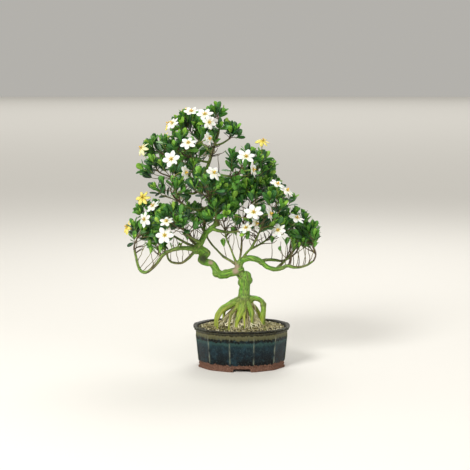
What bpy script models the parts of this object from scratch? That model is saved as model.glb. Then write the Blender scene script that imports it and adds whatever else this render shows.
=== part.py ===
"""Gardenia bonsai in its oval glazed pot, one plant and one pot that stand together.

Sizes are in millimetres in the tables and in metres in the model, with +Z up and the
front of the pot towards -Y. The pot is 200 mm wide at the rim; the tree stands 0.55 m high.

The branches were read by eye from the reference picture, so each point is kept as it was
read: across and down the picture in pixels, then a depth in millimetres (minus is towards
the viewer) and half the width of the wood in pixels. spot() turns the four into metres.
"""
import math
import random

import bmesh
import bpy
import numpy as np
from mathutils import Matrix, Vector, noise
from mathutils.bvhtree import BVHTree

MM = 0.001
SEED = 4127
NAME = "gardenia_bonsai"

# the view the branches were read from
VIEW_FOCAL = 1292.0
VIEW_MIDDLE = (235.0, 234.5)
VIEW_EYE = (-13.8, -2660.0, 595.0)
VIEW_PITCH = math.radians(6.87)
PIXEL = 2.08

# where the middle of the pot stands, so that the whole object is centred on X and Y
POT_X = 37.7 * MM
POT_Y = -3.0 * MM

# pot
CORNERS = 12
DEPTH_RATIO = 0.8
RIB_WIDE = 2.6
RIM_HIGH = 86.0
FLOOR_Z = 16.0
# half width across the flats, height, how far the corner ribs stand out
POT_PROFILE = [
    (75.5, 8.0, 0.0),
    (77.0, 0.0, 0.0),
    (89.4, 0.0, 0.0),
    (89.6, 3.2, 0.0),
    (87.4, 4.4, 0.0),
    (87.8, 12.8, 0.0),
    (88.8, 14.2, 0.0),
    (89.0, 16.0, 0.9),
    (94.4, 68.5, 0.9),
    (94.7, 71.0, 0.0),
    (95.3, 78.0, 0.0),
    (97.9, 78.9, 0.0),
    (98.0, 81.4, 0.0),
    (96.5, 82.2, 0.0),
    (100.0, 83.4, 0.0),
    (99.0, 86.0, 0.0),
    (94.0, 85.0, 0.0),
    (89.4, 80.5, 0.0),
    (82.0, 20.0, 0.0),
    (79.5, FLOOR_Z, 0.0),
]
NOTCH_HIGH = 6.5
NOTCH_FRONT = 36.0
NOTCH_END = 28.0
DRAIN_X = 42.0
DRAIN_RADIUS = 7.0
DRAIN_SIDES = 12
MESH_WIDE = 22.0
MESH_THICK = 1.2

# soil
GAP = 0.35
SOIL_BASE = 18.2
SOIL_EDGE = 79.0
MOUND_HIGH = 11.0
MOUND_X = -4.0
MOUND_WIDE = 62.0
MOUND_DEEP = 44.0
SOIL_RINGS = [0.95, 0.74, 0.50, 0.24]
HOLE_SIDES = 6
HOLE_DEEP = 10.0

# wood: (across, down, depth, half width)
BRANCHES = {
    "trunk": [(243.5, 311, 2, 4.6), (243.8, 304, 1, 6.2), (244, 298, 0, 6.4), (244.2, 292, 0, 5.6),
              (244.8, 286, 0, 5.2), (245.2, 281, 0, 5.6), (245.7, 276.5, -1, 5.5),
              (246, 273, -1, 4.2)],
    "neck": [(244.5, 280, 0, 4.4), (241.5, 275.5, 0, 4.4), (238.8, 271, 0, 4.2), (238, 267, 0, 3.6),
             (239, 263.5, -1, 3.4), (241, 261, -2, 3.2)],
    "left_limb": [(239.5, 270.5, -1, 4.3), (235, 271.2, -3, 4.2), (228, 272.8, -6, 4.1),
                  (221, 274.2, -8, 4.1), (216.8, 271.2, -8, 4.0), (214.6, 266.5, -7, 3.7),
                  (211.5, 262.8, -6, 3.3), (206.5, 261.8, -8, 3.6), (202.4, 259.6, -9, 4.3),
                  (202.4, 256.6, -6, 4.2), (204.6, 254.4, -3, 4.0), (206.2, 252.4, -2, 3.8),
                  (203.8, 250, -3, 3.6), (200, 248.6, -3, 3.5), (195.5, 249.8, -3, 3.6)],
    "leader": [(196.5, 249.5, -3, 3.6), (199.5, 244, -2, 3.3), (202.8, 238.3, 0, 2.9),
               (206, 232.8, 2, 2.8), (211, 228.2, 3, 2.6), (215.5, 223, 4, 2.4), (217.4, 215, 4, 2.3),
               (216.2, 206, 3, 2.4), (211.5, 197, 2, 2.3), (206.3, 189, 2, 2.1), (204, 180, 3, 2.0),
               (206, 170.5, 3, 1.8), (209.5, 161, 2, 1.6), (212, 152, 1, 1.4), (215, 143, 0, 1.2),
               (218.5, 133, 0, 1.0), (219.5, 125, 0, 0.8)],
    "left_arm": [(196, 249.8, -3, 2.8), (189.5, 248, -8, 2.3), (181.5, 247.6, -12, 2.0),
                 (174, 249, -14, 1.9), (167.5, 251.3, -16, 1.8), (162.5, 255, -18, 1.6),
                 (158, 261.5, -20, 1.5), (152.5, 267.5, -22, 1.5), (146.5, 271.7, -22, 1.6),
                 (141.5, 271, -20, 1.6), (138.3, 265.5, -18, 1.4), (136.3, 257.5, -16, 1.3),
                 (134.4, 249.5, -14, 1.1)],
    "under_loop": [(195, 250.5, -3, 1.9), (188, 258, 6, 1.4), (182, 262.3, 10, 1.3),
                   (176.5, 262.6, 14, 1.2), (170.5, 261, 18, 1.1), (167.5, 256, 22, 1.0),
                   (167.5, 249, 26, 0.9)],
    "high_left": [(205.5, 185.5, 1, 1.5), (199, 190, -6, 1.4), (192.5, 193.2, -12, 1.3),
                  (187, 190.5, -16, 1.2), (181, 184.5, -18, 1.1), (173.5, 178.5, -20, 1.0)],
    "mid_left": [(214.5, 203, 3, 1.6), (206, 207, -10, 1.4), (197, 209.5, -22, 1.2),
                 (188, 207, -32, 1.1), (180, 201.5, -38, 1.0)],
    "low_left": [(198.2, 246, -2, 1.8), (190.5, 238.5, 8, 1.5), (183.5, 228, 14, 1.3),
                 (177.5, 217.5, 18, 1.2), (169.5, 211.5, 18, 1.1), (161, 211, 14, 1.0)],
    "right_limb": [(239, 263.5, -1, 3.3), (241.5, 260.3, -2, 3.2), (245.5, 258.2, -4, 3.2),
                   (250.5, 257.6, -6, 3.1), (256, 258.6, -8, 3.0), (261.3, 261.2, -10, 2.7),
                   (265, 265, -12, 2.3), (270.2, 267.8, -14, 2.2), (276.5, 268.8, -15, 2.1),
                   (282.5, 267.4, -15, 2.0), (287.5, 265.2, -14, 1.8), (293.5, 266.8, -13, 1.5),
                   (300, 266.6, -12, 1.3), (307, 264.6, -10, 1.1), (313, 260.5, -8, 1.0)],
    "right_fork": [(260.5, 260.8, -9, 2.0), (267.5, 259.2, 2, 1.7), (275, 259.6, 14, 1.5),
                   (282, 260.4, 26, 1.3), (288.5, 258, 36, 1.1)],
    "fan_back_left": [(237.5, 265, 2, 1.6), (230.5, 260.3, 8, 1.3), (223.5, 256, 14, 1.2),
                      (217.5, 250, 20, 1.1), (211.5, 243.5, 26, 1.0), (206.5, 236, 32, 0.9)],
    "fan_left": [(236.5, 263, 2, 1.3), (233, 254, -4, 1.0), (230, 246, -8, 0.9),
                 (226.5, 238.5, -12, 0.9), (225, 228.5, -14, 0.8)],
    "fan_middle": [(239, 262, 0, 1.4), (240.6, 254.5, 6, 1.2), (241.6, 245, 12, 1.1),
                   (242, 234, 18, 1.0), (243.5, 222, 24, 1.0), (247, 210.5, 28, 0.9)],
    "fan_right": [(242, 259, -3, 1.6), (246.5, 252.5, -12, 1.3), (251.5, 247, -18, 1.2),
                  (256, 239, -22, 1.1), (260, 230, -24, 1.0), (265, 220, -24, 0.9)],
    "fan_far_right": [(250.5, 248.6, -17, 1.2), (257.5, 245.2, -8, 1.1), (265, 240.5, 4, 1.0),
                      (272, 234, 14, 0.9)],
    "cross_branch": [(211.5, 228, 3, 1.8), (219.5, 230.4, -8, 1.6), (229, 231.6, -22, 1.3),
                     (239, 230.6, -34, 1.1), (248, 228.4, -42, 1.0)],
    "mid_right": [(206.5, 189.5, 2, 1.6), (214, 188.5, 12, 1.4), (223, 190, 22, 1.2),
                  (232, 188, 30, 1.1), (240, 182, 36, 0.9)],
    "front_right": [(205.5, 172.5, 3, 1.4), (213, 172, -10, 1.2), (222, 174.5, -20, 1.1),
                    (231, 176, -28, 1.0)],
    "top_front_left": [(209, 162, 2, 1.3), (200, 160, -8, 1.1), (190, 157, -14, 1.0)],
    "top_back_left": [(206.5, 169, 3, 1.3), (197, 168, 16, 1.1), (186, 164, 26, 1.0),
                      (175, 158, 32, 0.9)],
    "top_left": [(212, 152.5, 1, 1.1), (205, 146, 8, 1.0), (198, 139, 14, 0.9)],
    "top_right": [(214.5, 145, 0, 1.1), (222, 143, 4, 1.0), (229, 138.5, 6, 0.9)],
    "front_middle": [(217, 211, 4, 1.7), (213, 208, -16, 1.4), (210, 203, -36, 1.2),
                     (209, 196, -54, 1.0)],
    "front_low_left": [(200.5, 242, -2, 1.8), (196, 240, -20, 1.5), (190, 236, -38, 1.2),
                       (184, 230, -52, 1.0)],
    "back_middle": [(206.5, 232.5, 2, 2.0), (204, 228, 18, 1.7), (205, 222, 38, 1.4),
                    (210, 215, 58, 1.1), (217, 207, 72, 0.9)],
    "back_right": [(216.8, 212, 4, 1.7), (224, 208, 22, 1.4), (233, 203, 42, 1.2),
                   (243, 197, 60, 1.0)],
    "back_high": [(205, 184, 2, 1.4), (198, 181, 22, 1.2), (189, 176, 40, 1.0)],
    "back_low_left": [(197.5, 247.5, -2, 1.8), (187, 243, 22, 1.4), (178, 238, 42, 1.2),
                      (167, 232, 58, 1.0)],
    "back_low_right": [(276.5, 268.2, -14, 1.6), (283, 262, 8, 1.3), (290, 254, 30, 1.2),
                       (297, 246, 50, 1.0)],
}

# roots: each runs down to a plain hole in the soil at its last point
ROOTS = {
    "root_left": [(241, 299, -2, 4.2), (234, 301.5, -6, 3.2), (226.5, 305, -10, 2.8),
                  (220.5, 309.5, -14, 2.4), (217, 315, -18, 2.0), (216, 320, -19, 1.7)],
    "root_left_front": [(238, 300, -4, 3.0), (230, 305, -16, 2.2), (223, 310, -28, 1.8),
                        (219, 316, -36, 1.5), (217.5, 321, -38, 1.2)],
    "root_front": [(243, 300, -6, 4.2), (242.5, 306, -16, 4.4), (240.5, 312, -26, 3.8),
                   (238, 318, -33, 2.6), (237, 322, -34, 2.0)],
    "root_front_thin": [(240, 302, -8, 2.0), (235.5, 308, -20, 1.5), (231, 314, -34, 1.3),
                        (229.5, 320, -44, 1.1), (229, 324, -46, 1.0)],
    "root_front_right": [(247, 301, -5, 3.0), (250, 307, -16, 2.8), (251.5, 313, -22, 2.4),
                         (252, 318, -26, 1.8), (252.3, 322, -27, 1.4)],
    "root_right_loop": [(247, 297.5, 1, 3.2), (254, 297.8, 2, 2.6), (260, 299.6, 0, 2.5),
                        (263.3, 303.5, -2, 2.5), (263.6, 309, -4, 2.6), (262.8, 315, -5, 2.7),
                        (262.8, 320, -5, 2.5)],
    "root_back_left": [(241, 300, 6, 3.4), (234, 304, 20, 2.6), (227, 308, 30, 2.0),
                       (224, 312, 36, 1.6)],
    "root_back": [(245, 300, 7, 3.4), (246, 303, 22, 2.6), (248, 307, 34, 2.0), (249, 311, 40, 1.6)],
    "root_back_right": [(248, 301, 5, 2.8), (254, 306, 18, 2.2), (258, 311, 26, 1.8),
                        (259.5, 315, 30, 1.5)],
    "root_middle_thin": [(244, 303, -8, 2.0), (245.5, 310, -22, 1.3), (244, 317, -36, 1.2),
                         (244.5, 322, -42, 1.0)],
}

# leafy sprays: branch end they grow from, middle of the pad of leaves as (across, down,
# depth), its half sizes in millimetres, and how many leafy shoots it has
SPRAYS = [
    ("leader", (217.5, 114.5, 0), (15, 17, 24), 4),
    ("top_left", (187, 124, 18), (34, 32, 26), 4),
    ("top_right", (231.5, 133, 8), (22, 28, 27), 3),
    ("top_front_left", (177, 145, -38), (38, 30, 30), 3),
    ("top_back_left", (156, 149, 32), (28, 34, 32), 3),
    ("high_left", (156, 169, -26), (34, 34, 28), 3),
    ("front_right", (243, 164, -46), (38, 30, 34), 3),
    ("mid_right", (263, 170, 24), (30, 36, 44), 4),
    ("mid_left", (170, 188, -66), (40, 30, 26), 3),
    ("back_high", (182, 156, 78), (50, 34, 42), 4),
    ("fan_left", (222, 214, -58), (38, 32, 32), 3),
    ("fan_middle", (262, 190, 20), (40, 34, 28), 4),
    ("fan_right", (279, 200, -42), (34, 34, 28), 3),
    ("fan_far_right", (288, 220, 10), (34, 34, 28), 3),
    ("right_limb", (311, 236, -4), (10, 36, 34), 4),
    ("right_fork", (302, 238, 40), (24, 32, 32), 3),
    ("low_left", (149, 213, 6), (28, 34, 24), 3),
    ("left_arm", (138, 234, -14), (17, 34, 26), 3),
    ("under_loop", (160, 242, 32), (28, 32, 26), 3),
    ("fan_back_left", (198, 216, 44), (40, 34, 28), 3),
    ("cross_branch", (262, 222, -76), (40, 30, 28), 3),
    ("front_middle", (205, 184, -92), (40, 28, 34), 3),
    ("front_low_left", (172, 222, -76), (40, 30, 30), 3),
    ("back_middle", (226, 194, 94), (48, 28, 40), 4),
    ("back_right", (262, 186, 84), (44, 30, 40), 4),
    ("back_low_left", (162, 222, 90), (40, 32, 38), 4),
    ("back_low_right", (298, 226, 82), (32, 32, 34), 4),
]
STEM_SIDES = 4
STRAIGHT = 1.6
SHOOT_SIDES = 3
SHOOT_RADIUS = 0.95
STEM_TIP_RADIUS = 1.3
LEAF_LONG = (22.0, 27.0)
LEAF_WIDE = 0.46
LEAF_THICK = 1.2
LEAF_WIDEST = 0.68
NODE_LONG = 1.7
# share of the shoot's length, most leaves there, lean of the leaves above the level
SHOOT_WHORLS = [(0.52, 2, 12), (1.0, 3, 40)]
STALK_WHORLS = [(0.62, 2, 20)]
CLEAR = 0.5

# flowers: (across, down, depth, turn to the right of the viewer, lift, width in mm); a name
# with two entries is a pair on one forked stalk
BLOOMS = {
    "bloom_white_01": [(171.2, 158.5, -82, -12, 22, 37)],
    "bloom_white_02": [(253.7, 211.5, -112, 2, 42, 40)],
    "bloom_white_03": [(246.2, 155.8, -78, 5, 42, 38)],
    "bloom_white_04": [(188.3, 142, -70, -10, 50, 37)],
    "bloom_white_05": [(191.4, 110.5, -8, -15, 62, 34)],
    "bloom_white_06": [(172.2, 122.5, -20, -50, 40, 34)],
    "bloom_white_07": [(209.5, 138, -52, 60, 20, 32)],
    "bloom_white_08": [(186, 172, -104, 60, 5, 32)],
    "bloom_white_09": [(214.2, 172, -112, 40, 38, 36)],
    "bloom_white_10": [(253.4, 168.8, -92, 70, 8, 34)],
    "bloom_white_11": [(270.8, 213, -88, 72, 15, 34)],
    "bloom_white_12": [(297, 217, -40, 42, 60, 38)],
    "bloom_white_13": [(278, 229.5, -72, -32, 40, 36)],
    "bloom_pair_01": [(205, 113.3, -36, -3, 50, 38), (209.5, 121.5, -48, 25, 5, 32)],
    "bloom_pair_02": [(164.6, 234.6, -92, -5, 22, 39), (166.5, 220.5, -96, -20, 55, 32)],
    "bloom_pair_03": [(144, 218.8, -34, -45, 10, 36), (152.5, 205, -32, -50, 45, 34)],
    "bloom_pair_04": [(277.8, 183.2, -62, 45, 60, 34), (287.5, 189.5, -60, 52, 52, 36)],
    "bloom_pair_05": [(256.5, 223, -84, 62, 15, 32), (246, 227, -80, -32, 48, 34)],
    "bloom_cream_01": [(183.6, 110.5, 26, -45, 50, 32)],
    "bloom_cream_02": [(168, 123, 20, -70, 35, 32), (163.5, 137.7, 8, -70, 5, 34)],
    "bloom_cream_03": [(141, 147, 14, -60, 30, 36)],
    "bloom_cream_04": [(142.4, 196.5, -14, -22, 30, 36)],
    "bloom_cream_05": [(126.6, 226, 0, -62, 22, 36)],
    "bloom_cream_06": [(263, 139.8, 10, 15, 62, 34)],
    "bloom_back_01": [(208, 150, 94, 175, 20, 36)],
    "bloom_back_02": [(176, 196, 110, 190, 10, 38)],
    "bloom_back_03": [(258, 205, 112, 170, 5, 38)],
}
TUBE_LONG = 12.0
TUBE_RADIUS = 1.7
BLOOM_PETALS = 6

LOOKS = {
    "pot": ((0.030, 0.060, 0.075), 0.25, 0.0),
    "soil": ((0.32, 0.25, 0.17), 0.95, 0.0),
    "drain_mesh": ((0.03, 0.03, 0.03), 0.6, 0.0),
    "trunk": ((0.17, 0.20, 0.07), 0.85, 0.0),
    "spray": ((0.06, 0.17, 0.025), 0.4, 0.0),
    "bloom_cream": ((0.80, 0.62, 0.25), 0.6, 0.0),
    "bloom": ((0.88, 0.86, 0.80), 0.6, 0.0),
}


def spot(across, down, depth):
    """Turns a place read from the picture, at a depth in millimetres, into metres."""
    side = (across - VIEW_MIDDLE[0]) / VIEW_FOCAL
    drop = (down - VIEW_MIDDLE[1]) / VIEW_FOCAL
    ahead = math.cos(VIEW_PITCH) - drop * math.sin(VIEW_PITCH)
    rise = -math.sin(VIEW_PITCH) - drop * math.cos(VIEW_PITCH)
    reach = (depth - VIEW_EYE[1]) / ahead
    x = VIEW_EYE[0] + side * reach
    z = VIEW_EYE[2] + rise * reach
    return Vector((x * MM + POT_X, depth * MM + POT_Y, z * MM))


def soil_height(x, y):
    """Height of the soil in metres at a place measured in metres from the pot's middle."""
    across = (x / MM - MOUND_X) / MOUND_WIDE
    deep = (y / MM) / MOUND_DEEP
    mound = MOUND_HIGH * math.exp(-(across * across + deep * deep))
    rough = 1.1 * noise.noise(Vector((x * 62.0, y * 62.0, 3.7)))
    return (SOIL_EDGE + 1.2 + mound + rough) * MM


def outline(half_wide, rib, per_corner):
    """Points of the twelve-cornered oval: per_corner 3 gives room for a rib at each corner."""
    long_radius = half_wide / math.cos(math.pi / CORNERS)
    corner = []
    for index in range(CORNERS):
        angle = 2 * math.pi * (index + 0.5) / CORNERS
        corner.append(Vector((long_radius * math.cos(angle),
                              DEPTH_RATIO * long_radius * math.sin(angle), 0)))
    points = []
    for index, here in enumerate(corner):
        before = corner[index - 1]
        after = corner[(index + 1) % CORNERS]
        if per_corner == 3:
            points.append(here + (before - here).normalized() * RIB_WIDE / 2 * MM)
            points.append(here + here.normalized() * rib)
            points.append(here + (after - here).normalized() * RIB_WIDE / 2 * MM)
        else:
            points.append(here)
            points.append((here + after) / 2)
    return points


def push_out(bm, face):
    """Extrudes an end face, and takes away the old one where it is now inside the body."""
    inside = any(len(edge.link_faces) > 1 for edge in face.edges)
    grown = bmesh.ops.extrude_face_region(bm, geom=[face])["geom"]
    fresh = [item for item in grown if isinstance(item, bmesh.types.BMVert)]
    new_face = [item for item in grown if isinstance(item, bmesh.types.BMFace)][0]
    if inside and face.is_valid:
        bmesh.ops.delete(bm, geom=[face], context="FACES_ONLY")
    return fresh, new_face


def loft(name, rings, collection):
    """Skins closed rings of points, all with the same count, and closes both ends."""
    bm = bmesh.new()
    count = len(rings[0])
    bmesh.ops.create_circle(bm, cap_ends=True, segments=count, radius=1)
    bm.verts.ensure_lookup_table()
    loop = sorted(bm.verts, key=lambda v: math.atan2(v.co.y, v.co.x) % (2 * math.pi))
    for vert, point in zip(loop, rings[0]):
        vert.co = point
    face = bm.faces[:][0]
    for ring in rings[1:]:
        where = {}
        for vert, point in zip(loop, ring):
            where[tuple(vert.co)] = point
        fresh, face = push_out(bm, face)
        placed = {}
        for vert in fresh:
            placed[tuple(where[tuple(vert.co)])] = vert
        for vert in fresh:
            vert.co = where[tuple(vert.co)]
        loop = [placed[tuple(point)] for point in ring]
    bmesh.ops.recalc_face_normals(bm, faces=bm.faces[:])
    return finish_mesh(name, bm, collection)


def finish_mesh(name, bm, collection):
    """Puts a bmesh in a new object."""
    mesh = bpy.data.meshes.new(name)
    bm.to_mesh(mesh)
    bm.free()
    made = bpy.data.objects.new(name, mesh)
    collection.objects.link(made)
    return made


def path_frames(path, radii):
    """A frame at each point of a path, square to it and scaled to its radius."""
    frames = []
    side = None
    for index, point in enumerate(path):
        if index == 0:
            along = path[1] - path[0]
        elif index == len(path) - 1:
            along = path[-1] - path[-2]
        else:
            along = ((path[index + 1] - point).normalized()
                     + (point - path[index - 1]).normalized())
        along = along.normalized()
        if side is None:
            side = along.orthogonal().normalized()
        side = (side - along * side.dot(along)).normalized()
        turn = Matrix((side, along.cross(side), along)).transposed().to_4x4()
        frames.append(Matrix.Translation(point) @ turn @ Matrix.Scale(radii[index], 4))
    return frames


def sweep(bm, path, radii, sides):
    """Grows a round rod along a path, one ring at each point, with flat ends."""
    frames = path_frames(path, radii)
    made = bmesh.ops.create_circle(bm, cap_ends=True, segments=sides, radius=1, matrix=frames[0])
    face = made["verts"][0].link_faces[0]
    for before, after in zip(frames, frames[1:]):
        fresh, face = push_out(bm, face)
        bmesh.ops.transform(bm, matrix=after @ before.inverted(), verts=fresh)


def rod(name, path, radii, sides, collection):
    """One swept rod as an object."""
    bm = bmesh.new()
    sweep(bm, path, radii, sides)
    bmesh.ops.recalc_face_normals(bm, faces=bm.faces[:])
    return finish_mesh(name, bm, collection)


def curve_points(start, leave, end, arrive, count):
    """Points on a smooth curve that leaves and arrives along given directions."""
    points = []
    for index in range(count + 1):
        t = index / count
        points.append((2 * t ** 3 - 3 * t ** 2 + 1) * start + (t ** 3 - 2 * t ** 2 + t) * leave
                      + (3 * t ** 2 - 2 * t ** 3) * end + (t ** 3 - t ** 2) * arrive)
    return points


def blade(bm, base, along, face_up, long, wide, thick, arch, start=0.0, grow=0.0):
    """A closed leaf blade: narrow at the foot, widest past the middle, keeled below."""
    across = along.cross(face_up).normalized()
    lift = across.cross(along).normalized()
    made = bmesh.ops.create_uvsphere(bm, u_segments=3, v_segments=3, radius=1)
    for vert in made["verts"]:
        step = (vert.co.z + 1) / 2
        if step < 0.1:
            run, half = 0.0, 0.0
        elif step < 0.5:
            run, half = 0.16, 0.36
        elif step < 0.9:
            run, half = LEAF_WIDEST, 1.0
        else:
            run, half = 1.0, 0.0
        run = start + (1 - start) * run
        sideways = 0.0
        upward = 0.0
        if half > 0 and vert.co.y > 0.5:
            upward = -0.65 * thick - grow
        elif half > 0:
            sideways = math.copysign(wide / 2 * half + grow, vert.co.x)
            upward = 0.35 * thick + grow
        reach = run * long
        if run > 0.99:
            reach += grow
        bend = -arch * long * run * run
        vert.co = base + along * reach + across * sideways + lift * (upward + bend)


def petals(bm, middle, facing, wide, cup, turn, grow=0.0):
    """A six-petalled flower: a thin double cone whose rim is shaped into petals."""
    count = 3 * BLOOM_PETALS
    side = facing.orthogonal().normalized()
    frame = Matrix((side, facing.cross(side), facing)).transposed().to_4x4()
    frame = Matrix.Translation(middle) @ frame @ Matrix.Rotation(turn, 4, "Z")
    made = bmesh.ops.create_cone(bm, cap_ends=True, cap_tris=True, segments=count,
                                 radius1=1, radius2=0, depth=1)
    for vert in made["verts"]:
        ring = math.hypot(vert.co.x, vert.co.y)
        if ring < 0.5:
            top = vert.co.z > 0
            vert.co = frame @ Vector((0, 0, (-1.2 * MM + grow) if top else (-5.0 * MM - grow)))
            continue
        angle = math.atan2(vert.co.y, vert.co.x)
        index = round((angle - math.pi / 2) / (2 * math.pi / count)) % 3
        reach = 0.46 if index == 0 else 1.0
        spread = 0.0 if index == 0 else math.radians(4.0) * (1 if index == 1 else -1)
        far = wide / 2 * reach + grow
        vert.co = frame @ Vector((far * math.cos(angle - spread), far * math.sin(angle - spread),
                                  cup * reach * reach))


class Room:
    """Keeps the rods and flowers placed so far, to ask whether a new path is clear of them."""

    def __init__(self):
        self.starts = []
        self.ends = []
        self.widths = []
        self.tags = []
        self.discs = []

    def add_path(self, path, radii, tag):
        for index in range(len(path) - 1):
            self.starts.append(tuple(path[index]))
            self.ends.append(tuple(path[index + 1]))
            self.widths.append(max(radii[index], radii[index + 1]))
            self.tags.append(tag)

    def add_disc(self, middle, facing, radius, tag):
        self.discs.append((middle, facing, radius, tag))

    def clear(self, path, radius, skip, own, own_free):
        """True if the path keeps CLEAR from every flower and every rod but the skipped tags.

        Rods tagged own are only tested beyond own_free metres from the path's start."""
        points = []
        for index in range(len(path) - 1):
            for step in range(4):
                points.append(path[index].lerp(path[index + 1], step / 4))
        points.append(path[-1])
        for middle, facing, wide, tag in self.discs:
            for point in points:
                away = point - middle
                high = away.dot(facing)
                flat = (away - facing * high).length
                if -0.008 - radius < high < 0.006 + radius and flat < wide + radius + CLEAR * MM:
                    return False
        if not self.starts:
            return True
        a = np.array(self.starts)
        b = np.array(self.ends)
        r = np.array(self.widths)
        free = np.array([tag in skip for tag in self.tags])
        mine = np.array([tag == own for tag in self.tags])
        line = b - a
        size = (line * line).sum(axis=1)
        for point in points:
            p = np.array(point)
            t = np.clip(((p - a) * line).sum(axis=1) / size, 0, 1)
            gap = np.linalg.norm(a + line * t[:, None] - p, axis=1) - r - radius - CLEAR * MM
            test = ~free
            if (point - path[0]).length < own_free:
                test = test & ~mine
            if (gap[test] < 0).any():
                return False
        return True


def read_wood(table):
    """Paths and radii of a table of branches, in metres."""
    wood = {}
    for name, rows in table.items():
        path = [spot(row[0], row[1], row[2]) for row in rows]
        radii = [row[3] * PIXEL * MM for row in rows]
        wood[name] = (path, radii)
    return wood


def finish_roots(roots):
    """Turns each root's end straight down into the soil and says where its hole goes."""
    holes = []
    for name, (path, radii) in roots.items():
        last = path[-1]
        top = soil_height(last.x - POT_X, last.y - POT_Y)
        low = min(last.z, path[-2].z - 0.002)
        low = max(low, top + 0.003)
        path[-1] = Vector((last.x, last.y, low))
        path.append(Vector((last.x, last.y, top - (HOLE_DEEP - 1.5) * MM)))
        radii.append(radii[-1])
        holes.append((last.x, last.y, top, radii[-1]))
    return holes


def facing_of(turn, lift):
    """The way a flower looks: 0 is towards the viewer, plus is to the viewer's right."""
    turn = math.radians(turn)
    lift = math.radians(lift)
    return Vector((math.sin(turn) * math.cos(lift), -math.cos(turn) * math.cos(lift),
                   math.sin(lift)))


def plan_blooms(room, rng):
    """Places the flowers and their tubes, each with the foot where a shoot must meet it."""
    plans = {}
    for name, entries in BLOOMS.items():
        heads = []
        for across, down, depth, turn, lift, wide in entries:
            heads.append([spot(across, down, depth), facing_of(turn, lift), wide * MM,
                          rng.uniform(-2.5, 2.0) * MM, rng.uniform(0, 1.0)])
        step = -5.0 * MM if heads[0][0].y < 0.09 else 5.0 * MM
        for attempt in range(9):
            together = sum((head[1] for head in heads), Vector()).normalized()
            middle = sum((head[0] for head in heads), Vector()) / len(heads)
            depth = (TUBE_LONG + 3.0) * MM if len(heads) == 1 else 26.0 * MM
            foot = middle - together * depth
            tubes = []
            for head in heads:
                end = head[0] - head[1] * 3.2 * MM
                if len(heads) == 1:
                    tubes.append([foot, end])
                else:
                    tubes.append([foot] + curve_points(foot + together * STRAIGHT * MM,
                                                       together * 0.016, end, head[1] * 0.022, 2))
            good = all(room.clear(tube, TUBE_RADIUS * MM, (), "", 0) for tube in tubes)
            for head in heads:
                rim = []
                side = head[1].orthogonal().normalized()
                for turn in range(12):
                    spin = Matrix.Rotation(turn * math.pi / 6, 3, head[1])
                    rim.append(head[0] + spin @ side * (head[2] / 2))
                for point in rim:
                    good = good and room.clear([head[0] - head[1] * 0.002, point], 2.0 * MM,
                                               (), "", 0)
            if good:
                break
            for head in heads:
                head[0].y += step
        else:
            print("no clear place for", name)
        plans[name] = {"heads": heads, "tubes": tubes, "foot": foot, "way": together}
        for head in heads:
            room.add_disc(head[0], head[1], head[2] / 2, name)
        for tube in tubes:
            room.add_path(tube, [TUBE_RADIUS * MM] * len(tube), name)
    return plans


def plan_sprays(room, wood, blooms, rng):
    """Stems, flower stalks and leafy shoots, each bent until it is clear of the others."""
    sprays = []
    for branch, pad, half, count in SPRAYS:
        path, radii = wood[branch]
        way = (path[-1] - path[-2]).normalized()
        start = path[-1] + way * 0.3 * MM
        middle = spot(*pad)
        reach = (middle - start).length
        for attempt in range(24):
            loose = attempt * 0.8 * MM
            end = middle + Vector((rng.uniform(-loose, loose), rng.uniform(-loose, loose),
                                   rng.uniform(-loose, loose)))
            out = (end - start).normalized()
            stem = [start] + curve_points(start + way * STRAIGHT * MM, way * reach * 0.9, end,
                                          (out + Vector((0, 0, 0.8))) * reach * 0.6, 3)
            tip = min(radii[-1], STEM_TIP_RADIUS * MM)
            widths = [radii[-1] + (tip - radii[-1]) * t / 4 for t in range(5)]
            if room.clear(stem, widths[0], (branch,), "", 0):
                break
        else:
            print("stem crosses something:", branch)
        sprays.append({"name": branch, "stem": stem, "widths": widths, "shoots": [], "stalks": [],
                       "middle": middle, "half": half, "count": count})
        room.add_path(stem, widths, "stem " + branch)
    for name, plan in blooms.items():
        grow_stalk(room, sprays, name, plan, rng)
    for spray in sprays:
        grow_shoots(room, spray, rng)
    return sprays


def on_path(path, t):
    """The point and the way along at a share of a path."""
    place = t * (len(path) - 1)
    index = min(int(place), len(path) - 2)
    here = path[index]
    there = path[index + 1]
    return here.lerp(there, place - index), (there - here).normalized()


def straightness(path):
    """The sharpest bend of a path: 1 is straight, 0 a right angle."""
    ways = [(path[i + 1] - path[i]).normalized() for i in range(len(path) - 1)]
    return min([1.0] + [ways[i].dot(ways[i + 1]) for i in range(len(ways) - 1)])


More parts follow.
